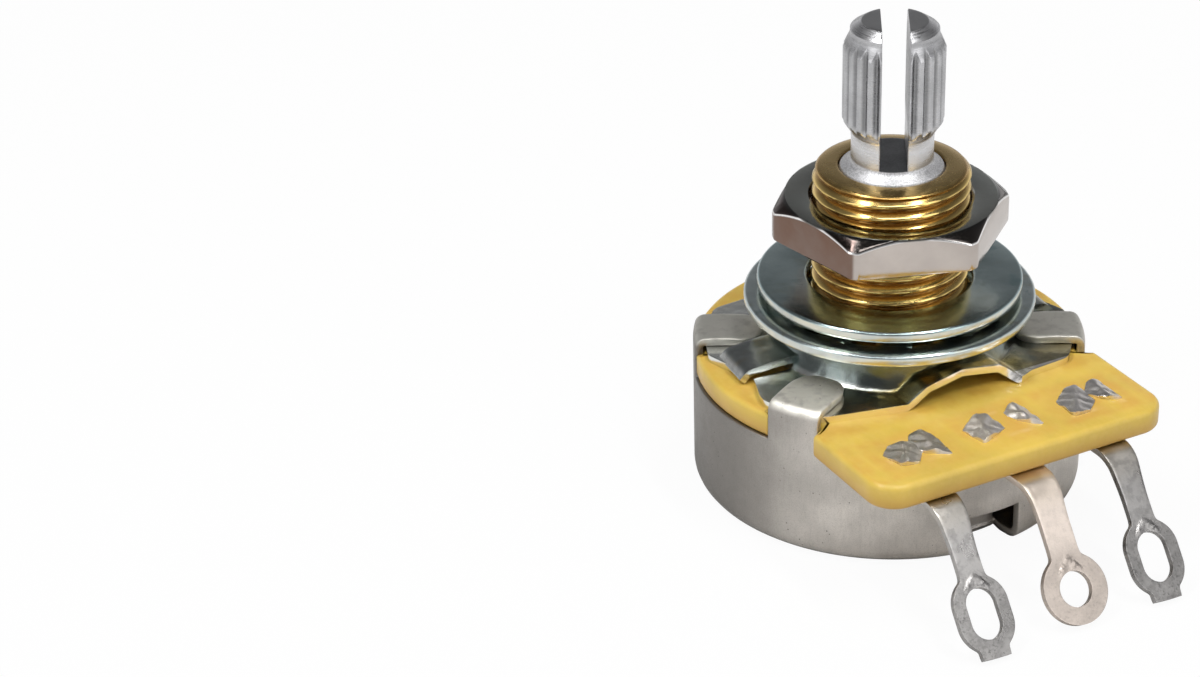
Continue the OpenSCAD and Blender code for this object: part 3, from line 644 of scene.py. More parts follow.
def can_finish(rgb):
    """Satin plated steel: cloudy, with upright streaks and a fine grain, mottled on the tabs,
    darker on the back, and with dark specks.  A painted highlight makes the tabs paler toward
    the camera, and painted shade makes the can darker toward the view's left."""
    f = Finish("can_steel")
    mottle = f.noise(0.7, 4.0, seed=2.0)
    grain = f.noise(0.06, 2.0, seed=3.0)
    speck = f.specks(0.50).ease(0.12, 0.05) * f.noise(1.8, 3.0, seed=7.0).ease(0.48, 0.60)
    streak = f.noise(0.22, 3.0, place=f.stretched((1.0, 1.0, 0.16)), seed=9.0)
    top, back = f.z.ease(9.15, 9.55), f.z.ease(0.45, 0.10)
    # Grows toward the camera, for the tabs' painted highlight
    front = f.along(TOWARD).ease(1.5, 5.0)
    f.tone(f.noise(3.2, 5.0).ease(0.3, 0.7), rgb, 0.86, 1.16)
    f.paint(streak.ease(0.45, 0.75) * 0.20, tint(rgb, 0.55))
    f.paint(grain.ease(0.45, 0.7) * 0.30, tint(rgb, 0.5))
    # Painted shade: the can darker toward the view's left
    f.paint(f.along(ASIDE).ease(-3.5, -10.8) * 0.9, tint(rgb, 0.32))
    # Painted highlight: the tabs paler, most toward the camera
    f.paint(top * 0.85, f.blend(front, (0.56, 0.55, 0.50), (0.88, 0.86, 0.78)))
    f.paint(mottle.ease(0.45, 0.75) * top * 0.55, tint(rgb, 0.5))
    f.paint(back * mottle.ease(0.3, 0.6, 0.35, 0.85), tint(rgb, 0.22))
    f.paint(speck * 0.75, (0.03, 0.025, 0.02))
    rough = grain.ease(0.2, 0.8, 0.36, 0.52) + mottle.ease(0.4, 0.8, 0.0, 0.08) + top * 0.06
    return f.surface(rough, f.bump(grain + mottle * 0.5, 0.5, 0.012))


class CONTROL_OT_can(PieceMaker, bpy.types.Operator):
    """Makes the drawn steel can with its four folded tabs and its stop tongue"""
    bl_idname = "control.can"
    bl_label = "Make can"

    def execute(self, context):
        s = sizes(context, "can")
        finish = can_finish(self.colours(context).can)
        can = can_skin(s).piece("can_shell", "housing", "can_steel", ["rear_cover"],
                                sheet=s.sheet, bevel=0.10)
        tongue = tongue_skin().piece("can_stop_tongue", "housing", "can_steel",
                                     sheet=s.sheet - 0.04, bevel=0.05)
        dress(can, finish)
        dress(tongue, finish)
        return {"FINISHED"}


# Board

def board_outline(s):
    """The board's outline, anticlockwise: a round edge notched for the tabs, and a terminal end
    with round corners."""
    wide, floor = 1.7, 11.35
    neck, side_y = -11.0, -7.583
    outer = math.sqrt(s.radius ** 2 - wide ** 2)
    spread = math.degrees(math.asin(wide / s.radius))

    def notch(a):
        """The four corners of a tab's notch."""
        c, n = math.cos(a), math.sin(a)
        return [(r * c - side * n, r * n + side * c) for r, side in (
            (outer, -wide), (floor, -wide), (floor, wide), (outer, wide))]

    a, b, c, d = TAB_ANGLES
    d -= TURN
    right = [(s.half_end, neck), (s.half_end, side_y)]
    left = [(-s.half_end, side_y), (-s.half_end, neck)]
    parts = [filleted(right + notch(d)[1:], [0, 0.25, 0.2, 0.12, 0], 5)]
    for first, then in ((d, a), (a, b), (b, c)):
        parts.append(arc((0, 0), s.radius, math.degrees(first) + spread,
                         math.degrees(then) - spread, 60))
        if then < c:
            parts.append(filleted(notch(then), [0, 0.12, 0.12, 0], 5))
    parts.append(filleted(notch(c)[:3] + left, [0, 0.12, 0.2, 0.25, 0], 5))
    end = [left[1], (-s.half_end, -s.reach), (s.half_end, -s.reach), right[0]]
    parts.append(resampled(filleted(end, [0, s.corner, s.corner, 0], 16), 150))
    path = np.concatenate(parts)
    step = np.linalg.norm(np.roll(path, -1, 0) - path, axis=1)
    return path[step > 1e-4]


def board_skin(s):
    """A closed band from the centre hole to the outline and back: rings between a point of the
    hole and the outline's point, with a quarter round at each edge."""
    out = board_outline(s)
    along = np.roll(out, -1, 0) - np.roll(out, 1, 0)
    normal = np.stack([along[:, 1], -along[:, 0]], -1)
    normal /= np.linalg.norm(normal, axis=1, keepdims=True)
    turn = np.maximum.accumulate(np.unwrap(np.arctan2(out[:, 1], out[:, 0])))
    ray = np.stack([np.cos(turn), np.sin(turn)], -1)
    quarter = np.radians(np.linspace(0, 90, 5))
    e = s.edge
    inner, outer = ray * (s.bore + e), out - normal * e
    rings = [(inner - ray * e * math.cos(k), s.low + e - e * math.sin(k))
             for k in quarter[::-1]]
    rings += [(inner - ray * e * math.cos(k), s.top - e + e * math.sin(k)) for k in quarter]
    rings += [(inner * (1 - t) + outer * t, s.top) for t in (0.25, 0.5, 0.75)]
    rings += [(outer + normal * e * math.cos(k), s.top - e + e * math.sin(k))
              for k in quarter[::-1]]
    rings += [(outer + normal * e * math.cos(k), s.low + e - e * math.sin(k))
              for k in quarter]
    rings += [(inner * (1 - t) + outer * t, s.low) for t in (0.75, 0.5, 0.25)]
    return Skin().band(np.stack([lattice(xy[:, 0], xy[:, 1], z) for xy, z in rings]))


def board_finish(rgb):
    """Waxed phenolic paper: ochre with fibres, browner low down, near the plate and round the
    prongs, which pale wax borders.  The distance past a lug's two prongs folds into one."""
    f = Finish("phenolic_board")
    fibre = f.noise(0.35, 5.0, 0.65, place=f.stretched((1.0, 0.35, 1.0)), seed=1.0)
    wax = f.noise(1.3, 2.0, seed=5.0)
    beside = abs((f.x + 14.75) % 5.9 - 2.95) - 1.85
    past = f.maths("MAXIMUM", beside, abs(f.y + 12.05) - 1.3)
    top = f.z.ease(8.60, 8.74)
    brown = top * past.ease(1.3, 0.5) * wax.ease(0.3, 0.7, 0.1, 0.5)
    border = top * past.ease(0.30, 0.05) * past.ease(-0.35, 0.0)
    f.tone(f.noise(4.0, 4.0).ease(0.3, 0.7), rgb, 0.88, 1.10)
    f.paint(fibre.ease(0.35, 0.75) * 0.22, (0.70, 0.50, 0.16))
    f.paint(brown, (0.56, 0.26, 0.05))
    f.paint(border * wax.ease(0.45, 0.70, 0.0, 0.25), (0.86, 0.70, 0.38))
    f.paint(top * f.y.ease(-9.3, -8.3) * wax.ease(0.35, 0.65, 0.15, 0.6), (0.50, 0.27, 0.04))
    f.paint(f.z.ease(8.6, 7.2) * 0.6, (0.42, 0.20, 0.035))
    return f.surface(wax.ease(0.3, 0.7, 0.30, 0.44), f.bump(fibre * 0.3 + wax, 0.5, 0.06),
                     metallic=0.0, IOR=1.5, Subsurface_Weight=0.08,
                     Subsurface_Radius=(0.9, 0.5, 0.2), Subsurface_Scale=0.4 * MM)


def track_finish(rgb):
    """Printed carbon ink: nearly black, dull and slightly grainy."""
    f = Finish("carbon_track")
    grain = f.noise(0.15, 3.0)
    f.tone(grain, rgb, 0.7, 1.6)
    return f.surface(grain.ease(0.2, 0.8, 0.42, 0.6), f.bump(grain, 0.4, 0.01), metallic=0.0)


class CONTROL_OT_board(PieceMaker, bpy.types.Operator):
    """Makes the element board, and finishes the track printed under it"""
    bl_idname = "control.board"
    bl_label = "Make board"

    def execute(self, context):
        colours = self.colours(context)
        board = board_skin(sizes(context, "board")).piece(
            "element_board_plate", "housing", "phenolic_board", ["element_board"], flats=True)
        dress(board, board_finish(colours.board))
        dress(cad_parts["resistive_track"], track_finish(colours.track))
        return {"FINISHED"}


# Lugs

# Each clenched prong: its corners, its ridge's direction in degrees, and its edge's and its
# ridge's height
PRONGS = {
    "left": [([(-7.72, -11.75), (-7.0, -11.1), (-5.75, -11.35), (-5.65, -12.35),
               (-6.45, -13.3), (-7.3, -13.1)], 65, 8.66, 8.87),
             ([(-5.80, -11.5), (-5.22, -10.64), (-4.55, -10.67), (-4.2, -11.4),
               (-4.30, -13.35), (-5.5, -12.5)], 80, 8.64, 8.88)],
    "center": [([(-2.19, -11.63), (-0.9, -10.77), (-0.27, -10.9), (-0.12, -12.51),
                 (-1.93, -13.29)], 75, 8.68, 8.88),
               ([(0.95, -11.15), (1.6, -10.75), (2.07, -11.05), (2.15, -13.25),
                 (1.25, -12.3)], 88, 8.62, 8.88)],
    "right": [([(4.37, -11.59), (5.5, -10.83), (6.13, -10.85), (6.24, -12.45),
                (5.24, -13.35), (4.34, -13.3)], 60, 8.66, 8.88),
              ([(6.35, -11.6), (7.08, -10.8), (7.66, -10.9), (7.78, -13.05),
                (7.02, -12.7)], 84, 8.64, 8.88)],
}


def lug_frame(s, x, corner, turn, lean):
    """Origin, across, along and face directions of a lug's bent-down plane, at mid thickness,
    and how far before the corner the bend starts."""
    back = s.bend * math.tan(turn / 2)
    mid = s.bend - s.sheet / 2
    origin = np.array([x, -corner + back - mid * math.sin(turn),
                       s.top - s.bend + mid * math.cos(turn)])
    down = np.array([0, -math.cos(turn), -math.sin(turn)])
    level = np.array([1.0, 0, 0])
    across = level * math.cos(lean) + down * math.sin(lean)
    along = down * math.cos(lean) - level * math.sin(lean)
    return origin, across, along, np.cross(across, along), back


def oval_radius(turned, half, spread):
    """Distance from the centre of a stadium to its edge: its flat side where the ray meets it
    within the spread, and its round end otherwise."""
    c, s = np.abs(np.cos(turned)), np.abs(np.sin(turned))
    side = half / np.maximum(s, 1e-6)
    end = spread * c + np.sqrt(np.maximum(half ** 2 - (spread * s) ** 2, 0))
    return np.where(side * c <= spread, side, end)


def strip_radius(turned, half, reach, flare=0.0):
    """Distance along each ray to the edge of a strip that leaves the centre toward angle 0,
    with its half width growing by the flare over its reach, or 0 where the ray misses it."""
    c, s = np.cos(turned), np.abs(np.sin(turned))
    side = half / np.maximum(s - flare / reach * np.maximum(c, 0), 1e-6)
    return np.where(c > 1e-6, np.minimum(side, reach / np.maximum(c, 1e-6)), 0)


def eye_radius(turned, eye, stem, neck, nib):
    """An eye's outline as a distance from its centre for each angle from its tip: an oval, its
    stem behind and its nib before it, blended by the root of their summed high powers."""
    power = 14.0
    total = oval_radius(turned, *eye) ** power
    total += strip_radius(turned - math.pi, stem, neck) ** power
    total += strip_radius(turned, *nib) ** power if nib else 0
    return total ** (1 / power)


def lug_skin(s, x, middle=False):
    """One lug: a level seat, a stem round its bend, wider near the board, and an eye ringed
    from its hole to its outline, dented by a V behind the hole, on the sheet's middle."""
    turn, lean, corner, stem, eye = (
        (s.turn_mid, s.lean_mid, s.corner_mid, s.stem_mid_half, s.eye_mid) if middle else
        (s.turn, s.lean, s.corner, s.stem_half, s.eye))
    # Half width and spread of the eye's outline and of its hole, and the nib past its tip
    outline, hole, nib = (((2.075, 0.0), (1.05, 0.0), None) if middle else
                          ((1.725, 0.525), (0.975, 0.525), (0.70, 2.55, 0.22)))
    neck = 3.3
    origin, across, along, face, back = lug_frame(s, x, corner, turn, lean)
    mid_z = s.top - s.sheet / 2
    columns = np.linspace(-1, 1, 11)
    centre = eye - back
    radius = s.bend - s.sheet / 2
    # Distance run from the seat's inner end to the neck, and the half width at each
    y = np.r_[np.linspace(s.seat_in, s.seat_out, 5),
              np.linspace(s.seat_out, s.seat_out + 0.5, 9)[1:],
              np.linspace(s.seat_out + 0.5, corner - back, 6)[1:]]
    a = np.linspace(0, turn, 17)[1:]
    v = np.linspace(0, centre - neck, 12)[1:]
    run = np.r_[y, y[-1] + radius * a, y[-1] + radius * turn + v]
    width = stem + s.flare * (1 - smooth_step((run - s.seat_out - 1.0) / 4.2))
    width = width + (s.seat_half - width) * (1 - smooth_step((run - s.seat_out) / 0.5))
    side = width[:, None] * columns
    n, m = len(y), len(y) + len(a)
    a = a[:, None]
    level = lattice(x + side[:n], -y[:, None], mid_z)
    bend = lattice(x + side[n:m], -corner + back - radius * np.sin(a),
                   mid_z - radius + radius * np.cos(a))
    flat = origin + across * side[m:, :, None] + along * v[:, None, None]
    skin = Skin().grid(np.concatenate([level, bend, flat]))
    edge = math.pi + np.arctan2(width[-1] * columns, neck)
    rest = np.linspace(edge[-1] - TURN, edge[0], 150)[1:-1]
    turned = np.r_[rest, edge]
    rim = eye_radius(turned, outline, width[-1], neck, nib)
    rim[len(rest):] = neck / np.cos(edge - math.pi)
    t = np.linspace(0, 1, 14)[:, None]
    r = oval_radius(turned, *hole) * (1 - t) + rim * t
    side, ahead = r * np.sin(turned), r * np.cos(turned)
    crease = np.exp(-((np.abs(side) * 0.9 - ahead - sum(hole) - 0.62) / 0.11) ** 2)
    dent = 0.07 * crease * smooth_step((0.85 - np.abs(side)) / 0.4)
    # The neck's side runs the same way as the stem's columns
    skin.grid(origin + across * -side[..., None] + along * (centre + ahead)[..., None]
              - face * dent[..., None], close_cols=True)
    return skin


def prong_side(s, x, side):
    """The part of a prong that stands in the board, beside the seat."""
    y = np.linspace(-s.seat_in - 0.15, -s.seat_out + 0.15, 6)
    z = np.linspace(s.top - s.sheet / 2, 8.60, 5)[:, None]
    return lattice(x + side * (s.seat_half - 0.2), y, z)


def prong_top(corners, ridge, low, high):
    """A prong's clenched end: rings shrunk toward the middle of an outline, on the two slopes
    of a ridge that leaves the middle at an angle, hammered by two crossed sines."""
    grow, sink, hammer = 1.1, 0.05, 0.045
    corners = np.mean(corners, 0) + grow * (np.array(corners) - np.mean(corners, 0))
    edge = filleted(corners, 0.10, 4, closed=True)
    edge = resampled(np.concatenate([edge, edge[:1]]), 49)[:-1]
    middle = edge.mean(0)
    shrink = np.array([1.0, 0.86, 0.66, 0.44, 0.22, 0.0])[:, None, None]
    xy = middle + (edge - middle)[None] * shrink
    across = (xy - middle) @ np.array([-math.sin(ridge), math.cos(ridge)])
    slope = np.abs(across) / np.abs(across).max()
    z = low - sink + (high - low + sink) * (1 - slope) ** 1.2
    z = z + hammer * np.sin(6.5 * xy[..., 0]) * np.sin(6 * xy[..., 1] + 1) - sink / 2
    return lattice(xy[..., 0], xy[..., 1], z)


def collector_skins(s):
    """The middle lug's ring round the shaft, and its strip out to the seat, set a little lower
    so that the two sheets don't share a face."""
    z = s.top - s.sheet / 2
    ring = revolved([(4.2, z), (4.9, z), (5.6, z)], around(96))
    out = np.linspace(-5.3, -s.seat_in, 9)[:, None]
    return ring, lattice(np.linspace(-1.5, 1.5, 7), out, z - 0.002)


def lug_finish(name, rgb, rough, grit):
    """Tinned sheet: cloudy, dull in patches, with dark grain and specks, and pale prong tops,
    with a painted yellow reflection of the board just under it and a painted highlight above
    the eyes."""
    f = Finish(name)
    cloud = f.noise(2.2, 3.0)
    fine = f.noise(0.09, 3.0, seed=2.0)
    grain = f.noise(0.16, 4.0, 0.7, seed=5.0)
    patch = f.noise(0.5, 3.0, seed=4.0).ease(0.45, 0.62) * f.z.ease(7.0, 6.6)
    speck = f.specks(0.36).ease(0.13, 0.05) * f.noise(1.2, 2.0, seed=6.0).ease(0.58, 0.68)
    f.tone(cloud.ease(0.32, 0.70), rgb, 0.82, 1.12)
    f.paint(grain.ease(0.48, 0.72) * grit, tint(rgb, 0.25))
    f.paint(speck * 0.8, (0.05, 0.045, 0.04))
    # Painted reflection: the board's yellow mirrored on the lugs just under it
    f.paint(f.z.ease(5.4, 6.8) * f.z.ease(7.4, 7.2) * 0.30, (0.50, 0.38, 0.16))
    # Painted highlight: the stems paler above the eyes
    f.paint(f.z.ease(3.2, 4.6) * 0.6, tint(rgb, 1.5))
    f.paint(patch * grit * 0.5, tint(rgb, 0.55))
    f.paint(f.z.ease(8.3, 8.6) * grain.ease(0.3, 0.5, 0.4, 0.9), (0.84, 0.80, 0.76))
    return f.surface(cloud.ease(0.3, 0.7, rough - 0.04, rough + 0.08),
                     f.bump(fine * 0.5 + grain, 0.5, 0.015))


class CONTROL_OT_lugs(PieceMaker, bpy.types.Operator):
    """Makes the three solder lugs, clenched to the board, and the middle one's ring"""
    bl_idname = "control.lugs"
    bl_label = "Make lugs"

    def execute(self, context):
        s = sizes(context, "lugs")
        colours = self.colours(context)
        outer = lug_finish("tinned_lug", colours.lug, 0.30, 0.75)
        middle = lug_finish("tinned_collector", colours.lug_mid, 0.36, 0.30)
        for name, x, slot, finish in (
                ("left", -s.pitch, "tinned_lug", outer),
                ("center", 0.0, "tinned_collector", middle),
                ("right", s.pitch, "tinned_lug", outer)):
            skin = lug_skin(s, x, name == "center")
            for side in (-1, 1):
                skin.grid(prong_side(s, x, side))
            for corners, ridge, low, high in PRONGS[name]:
                skin.grid(prong_top(corners, math.radians(ridge), low, high), close_cols=True)
            if name == "center":
                ring, strip = collector_skins(s)
                skin.grid(ring, close_cols=True).grid(strip)
            lug = skin.piece("solder_lug_" + name, "housing", slot, ["terminal_" + name],
                             sheet=s.sheet, bevel=0.14, steps=4)
            dress(lug, finish)
        return {"FINISHED"}


# Plate

# Corners of the plate's front outline and their radii; the back is the same, turned half round
PLATE_FRONT = np.array([
    (-10.0, -0.9), (-10.7, -2.8), (-11.0, -5.2), (-8.6, -6.95), (-3.7, -8.1), (3.2, -8.1),
    (3.85, -8.7), (4.8, -8.3), (7.6, -8.1), (9.7, -5.8), (10.9, -3.0), (10.3, -0.9)])
PLATE_ROUND = [0.25, 0.4, 0.7, 1.2, 1.0, 0.15, 0.12, 0.3, 1.2, 1.0, 0.6, 0.25]


def plate_height(x, y, s):
    """The plate's top: the highest of its flange, its arch and its dome, rounded over where
    they meet.  The arch is a height for each x; the dome falls evenly from seat to foot."""
    r = np.hypot(x, y)
    w, rise = s.arch_half, s.arch_rise
    arch_top = np.interp(x, np.array([-1.0, -0.64, 0.0, 0.7, 1.0]) * w,
                         s.flange + np.array([0, 0.65, 1.0, 0.65, 0]) * rise)
    outside = np.maximum(np.abs(x) - w, 0)
    arch_top = np.where(np.abs(x) < w, arch_top, s.flange - outside * 3.0)
    slope = (s.seat - s.flange) / (s.foot - s.seat_radius)
    dome = soft_min(s.seat - (r - s.seat_radius) * slope, s.seat + 0 * r, 0.05)
    return soft_max(soft_max(s.flange + 0 * r, arch_top, 0.06), dome, 0.07)


def plate_skin(s):
    """The plate's middle surface: columns run from the bushing's hole out over the dome to the
    outline, front and back; beside the ears they stop at the dome's foot."""
    front, back = (resampled(filleted(side * PLATE_FRONT, PLATE_ROUND, 6), 150)
                   for side in (1, -1))
    gap = math.asin(0.9 / s.foot)
    half_turn = np.linspace(math.pi + gap, TURN - gap, len(front))
    ear = np.linspace(-gap, gap, 14)[1:-1]
    ear_foot = s.foot * np.stack([np.cos(ear), np.sin(ear)], -1)
    angles = np.r_[half_turn, ear, half_turn - math.pi, math.pi + ear]
    outer = np.concatenate([front, ear_foot, back, -ear_foot])
    can_inside = 11.3
    outer *= np.minimum(1, can_inside / np.linalg.norm(outer, axis=1))[:, None]
    inner_r = np.r_[4.3, 4.9, 5.5, 5.8, np.linspace(5.95, s.foot + 0.1, 10)][:, None, None]
    inner = inner_r * np.stack([np.cos(angles), np.sin(angles)], -1)
    t = np.linspace(0, 1, 15)[1:, None, None]
    x, y = np.moveaxis(np.concatenate([inner, inner[-1] * (1 - t) + outer * t]), -1, 0)
    keep = np.ones((len(x) - 1, len(angles)), bool)
    has_flange = np.r_[np.ones(len(front) - 1, bool), np.zeros(len(ear) + 1, bool)]
    keep[len(inner_r) - 1:] = np.tile(has_flange, 2)
    return Skin().grid(lattice(x, y, plate_height(x, y, s) - s.sheet / 2), close_cols=True,
                       keep=keep)


def ear_skin(s, turn):
    """A locating ear: a strip carried down a path from the dome's side to the board."""
    path = filleted([(6.55, 9.76), (8.40, 9.68), (10.02, 9.44), (10.48, 8.98)],
                    [0, 2.0, 0.55, 0], 9)
    r, z = resampled(path, 40).T[:, :, None]
    return rotated(lattice(r, np.linspace(-s.ear_half, s.ear_half, 9), z), turn)


def plate_finish(rgb):
    """Glossy zinc plate: blue-green grey with drifting brown and teal, a painted yellow
    reflection of the board where the arch falls toward the lugs, painted shade on the dome and to
    the right, and painted highlights at the left and along the front edges."""
    f = Finish("zinc_plate")
    cloud = f.noise(3.0, 3.0)
    drift = f.noise(2.2, 2.0, seed=4.0)
    # Where the arch falls toward the lugs, for its painted reflection of the board
    arch = f.y.ease(-5.4, -6.8) * f.y.ease(-8.6, -7.6)
    # The front edges, straight and slanting, for their painted highlight
    slanting = f.along((-0.2285, -0.9736)).ease(8.50, 8.60)
    edge = f.maths("MAXIMUM", f.y.ease(-7.88, -7.98), slanting)
    f.tone(cloud.ease(0.3, 0.7), rgb, 0.8, 1.25)
    # Painted reflection: the board's yellow on the arch, broken up by the drift
    f.paint(arch * drift.ease(0.30, 0.60, 0.45, 1.0), (0.95, 0.76, 0.32))
    f.paint(drift.ease(0.54, 0.70) * 0.6, (0.50, 0.37, 0.18))
    f.paint(drift.ease(0.42, 0.30) * 0.4, (0.16, 0.27, 0.28))
    # Painted shade on the dome and to the right
    f.paint(f.radius().ease(7.7, 7.3) * 0.7, (0.15, 0.19, 0.18))
    f.paint(f.x.ease(3.4, 6.5) * 0.7, (0.16, 0.18, 0.17))
    # Painted highlight on the flange at the left
    f.paint(f.x.ease(-3.4, -6.5) * f.z.ease(9.6, 9.3) * 0.8, (0.88, 0.90, 0.87))
    # Painted highlight along the front edges
    f.paint(edge * 0.9, (0.98, 0.95, 0.90))
    fine = f.bump(f.noise(0.08, 2.0, seed=3.0), 0.3, 0.02)
    return f.surface(cloud.ease(0.3, 0.7, 0.14, 0.24),
                     f.bump(f.noise(1.7, 2.0, seed=8.0), 0.5, 0.16, fine))


class CONTROL_OT_plate(PieceMaker, bpy.types.Operator):
    """Makes the mounting plate with its dome, arch, flanges and two locating ears"""
    bl_idname = "control.plate"
    bl_label = "Make mounting plate"

    def execute(self, context):
        s = sizes(context, "plate")
        skin = plate_skin(s)
        for a in (s.ear_turn, s.ear_turn + math.pi):
            skin.grid(ear_skin(s, a))
        plate = skin.piece("mounting_plate_sheet", "housing", "zinc_plate",
                           ["mounting_plate"], sheet=s.sheet, bevel=0.20, steps=5)
        dress(plate, plate_finish(self.colours(context).plate))
        return {"FINISHED"}


# Bushing

def bushing_skin(s):
    """The bushing turned round the axis.  Its thread lowers the radius by a V with a rounded
    crest and root, whose phase is the height over the pitch, less the angle over a turn and
    the start.  The top's chamfer cuts it off, and the top falls away from its crown by the
    cube of the way to its rim."""
    angles = around(220)
    rows = int((s.top - s.low) / s.pitch * 18)
    z = np.r_[np.linspace(s.low, s.top - 0.06, rows),
              s.top + np.array([-0.04, -0.02, 0.0, 0.02, 0.045])][:, None]
    phase = (z / s.pitch - angles / TURN - s.start) % 1.0
    vee = soft_min(soft_max((np.abs(2 * phase - 1) - 0.08) / 0.76, 0, 0.05), 1, 0.20)
    r = s.radius - 0.01 - s.depth * (1 - vee)
    rim = s.radius - s.chamfer
    r = soft_min(r, rim + np.maximum(s.top - z, 0), 0.015)
    r = r + (rim - r) * smooth_step((z - s.top + 0.06) / 0.07)
    r = r - 0.03 * smooth_step((z - s.top) / 0.045) ** 2
    inward = np.linspace(rim - 0.06, s.bore + 0.08, 12)
    crown = s.top + 0.20 - 0.14 * ((inward - s.bore) / (rim - s.bore)) ** 3
    # The swaged foot under the plate, from its low face
    foot, foot_top = 10.15, 10.7
    inside = [(s.bore + 0.02, s.top + 0.18), (s.bore, s.top + 0.12), (s.bore, 15.0),
              (s.bore, foot)]
    swage = [(5.2, foot), (5.2, foot_top), (4.3, foot_top), (4.3, s.low)]
    lip = np.concatenate([np.stack([inward, crown], -1), inside])
    return Skin().band(np.concatenate([revolved(swage, angles), polar(r, angles, z),
                                       revolved(lip, angles)]))


def brass_finish(rgb):
    """Turned brass: golden, browner in the thread's roots and darker on its top by painted shade,
    with faint tool lines."""
    f = Finish("bushing_brass")
    root = f.radius().ease(4.72, 4.36)
    line = f.noise(0.05, 2.0, place=f.stretched((0.05, 0.05, 1.0)), seed=3.0)
    f.tone(f.noise(1.8, 4.0).ease(0.3, 0.7), rgb, 0.88, 1.10)
    f.paint(root * 0.85, (0.26, 0.12, 0.025))
    # Painted shade: the top darker
    f.paint(f.z.ease(20.38, 20.50) * 0.9, (0.52, 0.37, 0.145))
    return f.surface(line.ease(0.3, 0.7, 0.12, 0.21) + root * 0.10, f.bump(line, 0.12, 0.01))


class CONTROL_OT_bushing(PieceMaker, bpy.types.Operator):
    """Makes the threaded brass bushing"""
    bl_idname = "control.bushing"
    bl_label = "Make bushing"

    def execute(self, context):
        bushing = bushing_skin(sizes(context, "thread")).piece(
            "bushing_thread", "housing", "bushing_brass", ["threaded_bushing"])
        dress(bushing, brass_finish(self.colours(context).brass))
        bushing.data.set_sharp_from_angle(angle=math.radians(38))
        return {"FINISHED"}


# Washers

def washer_skin(inner, outer, low, top):
    """A washer: a section with rounded corners carried round the axis."""
    section = filleted([(inner, low), (inner, top), (outer, top), (outer, low)], 0.20, 5,
                       closed=True)
    return Skin().band(revolved(section, around(160)))


def tooth_skin(s, index):
    """A tooth: a rounded bar carried inward from the rim, its section turned more and more
    about the bar's own line until it has its full twist."""
    half, thick = s.tooth_half, s.lock_sheet / 2
    section = filleted([(-half, -thick), (half, -thick), (half, thick), (-half, thick)],
                       0.1, 4, closed=True)
    reach = np.r_[s.lock_rim + 0.3, np.linspace(s.lock_rim + 0.05, s.lock_tip + 0.08, 12),
                  s.lock_tip][:, None]
    twist = s.tooth_twist * smooth_step((s.lock_rim + 0.1 - reach) / 0.9)
    shrink = np.r_[np.ones(13), 0.90][:, None]
    u, v = section.T
    side = (u * np.cos(twist) - v * np.sin(twist)) * shrink
    high = (u * np.sin(twist) + v * np.cos(twist)) * shrink
    bar = lattice(reach, side, s.lock_mid + high)
    ends = [end.mean(1, keepdims=True) + 0 * end for end in (bar[:1], bar[-1:])]
    return rotated(np.concatenate([ends[0], bar, ends[1]]), index * TURN / s.teeth)


def washer_finish(name, rgb, warm, low, top):
    """Zinc plate with a fine grain and a drifting warm and teal film, darker on its top, which
    starts at the low height, by painted shade, and pale round its rim by a warm painted
    highlight."""
    f = Finish(name)
    cloud = f.noise(3.0, 3.0)
    drift = f.noise(1.4, 3.0, seed=4.0)
    fine = f.noise(0.07, 2.0, seed=3.0)
    f.tone(cloud.ease(0.3, 0.7), rgb, 0.80, 1.20)
    f.paint(drift.ease(0.55, 0.72) * warm, (0.42, 0.36, 0.20))
    f.paint(drift.ease(0.42, 0.30) * 0.5, (0.13, 0.26, 0.29))
    # Painted highlight: the rim, below the low height, pale and warm
    rim = f.blend(drift.ease(0.35, 0.60, 0.1, 0.8), (0.78, 0.75, 0.61), f.base)
    # Painted shade: the top darker by the top fraction
    face = f.blend(top, f.base, (0.22, 0.34, 0.35))
    f.base = f.blend(f.z.ease(low, low + 0.10), rim, face)
    return f.surface(fine.ease(0.25, 0.75, 0.15, 0.24), f.bump(fine + cloud, 0.35, 0.015))


class CONTROL_OT_washers(PieceMaker, bpy.types.Operator):
    """Makes the flat washer and the internal-tooth lock washer under it"""
    bl_idname = "control.washers"
    bl_label = "Make washers"

    def execute(self, context):
        s = sizes(context, "washers")
        rgb = self.colours(context).washer
        flat = washer_skin(s.flat_bore, s.flat_radius, s.flat_low, s.flat_top)
        flat = flat.piece("washer_flat", "housing", "zinc_washer", ["flat_washer"])
        half = s.lock_sheet / 2
        lock = washer_skin(s.lock_rim, s.lock_radius, s.lock_mid - half, s.lock_mid + half)
        for index in range(s.teeth):
            lock.grid(tooth_skin(s, index), close_cols=True)
        lock = lock.piece("washer_toothed", "housing", "zinc_washer", ["lock_washer"])
        dress(flat, washer_finish("zinc_washer_flat", rgb, 0.35, 13.20, 0.5))
        dress(lock, washer_finish("zinc_washer_lock", tint(rgb, 1.1), 0.6, 12.07, 0.2))
        return {"FINISHED"}


# Nut

# Fall of the nut's top chamfer for each millimetre outward
NUT_SLOPE = 0.75


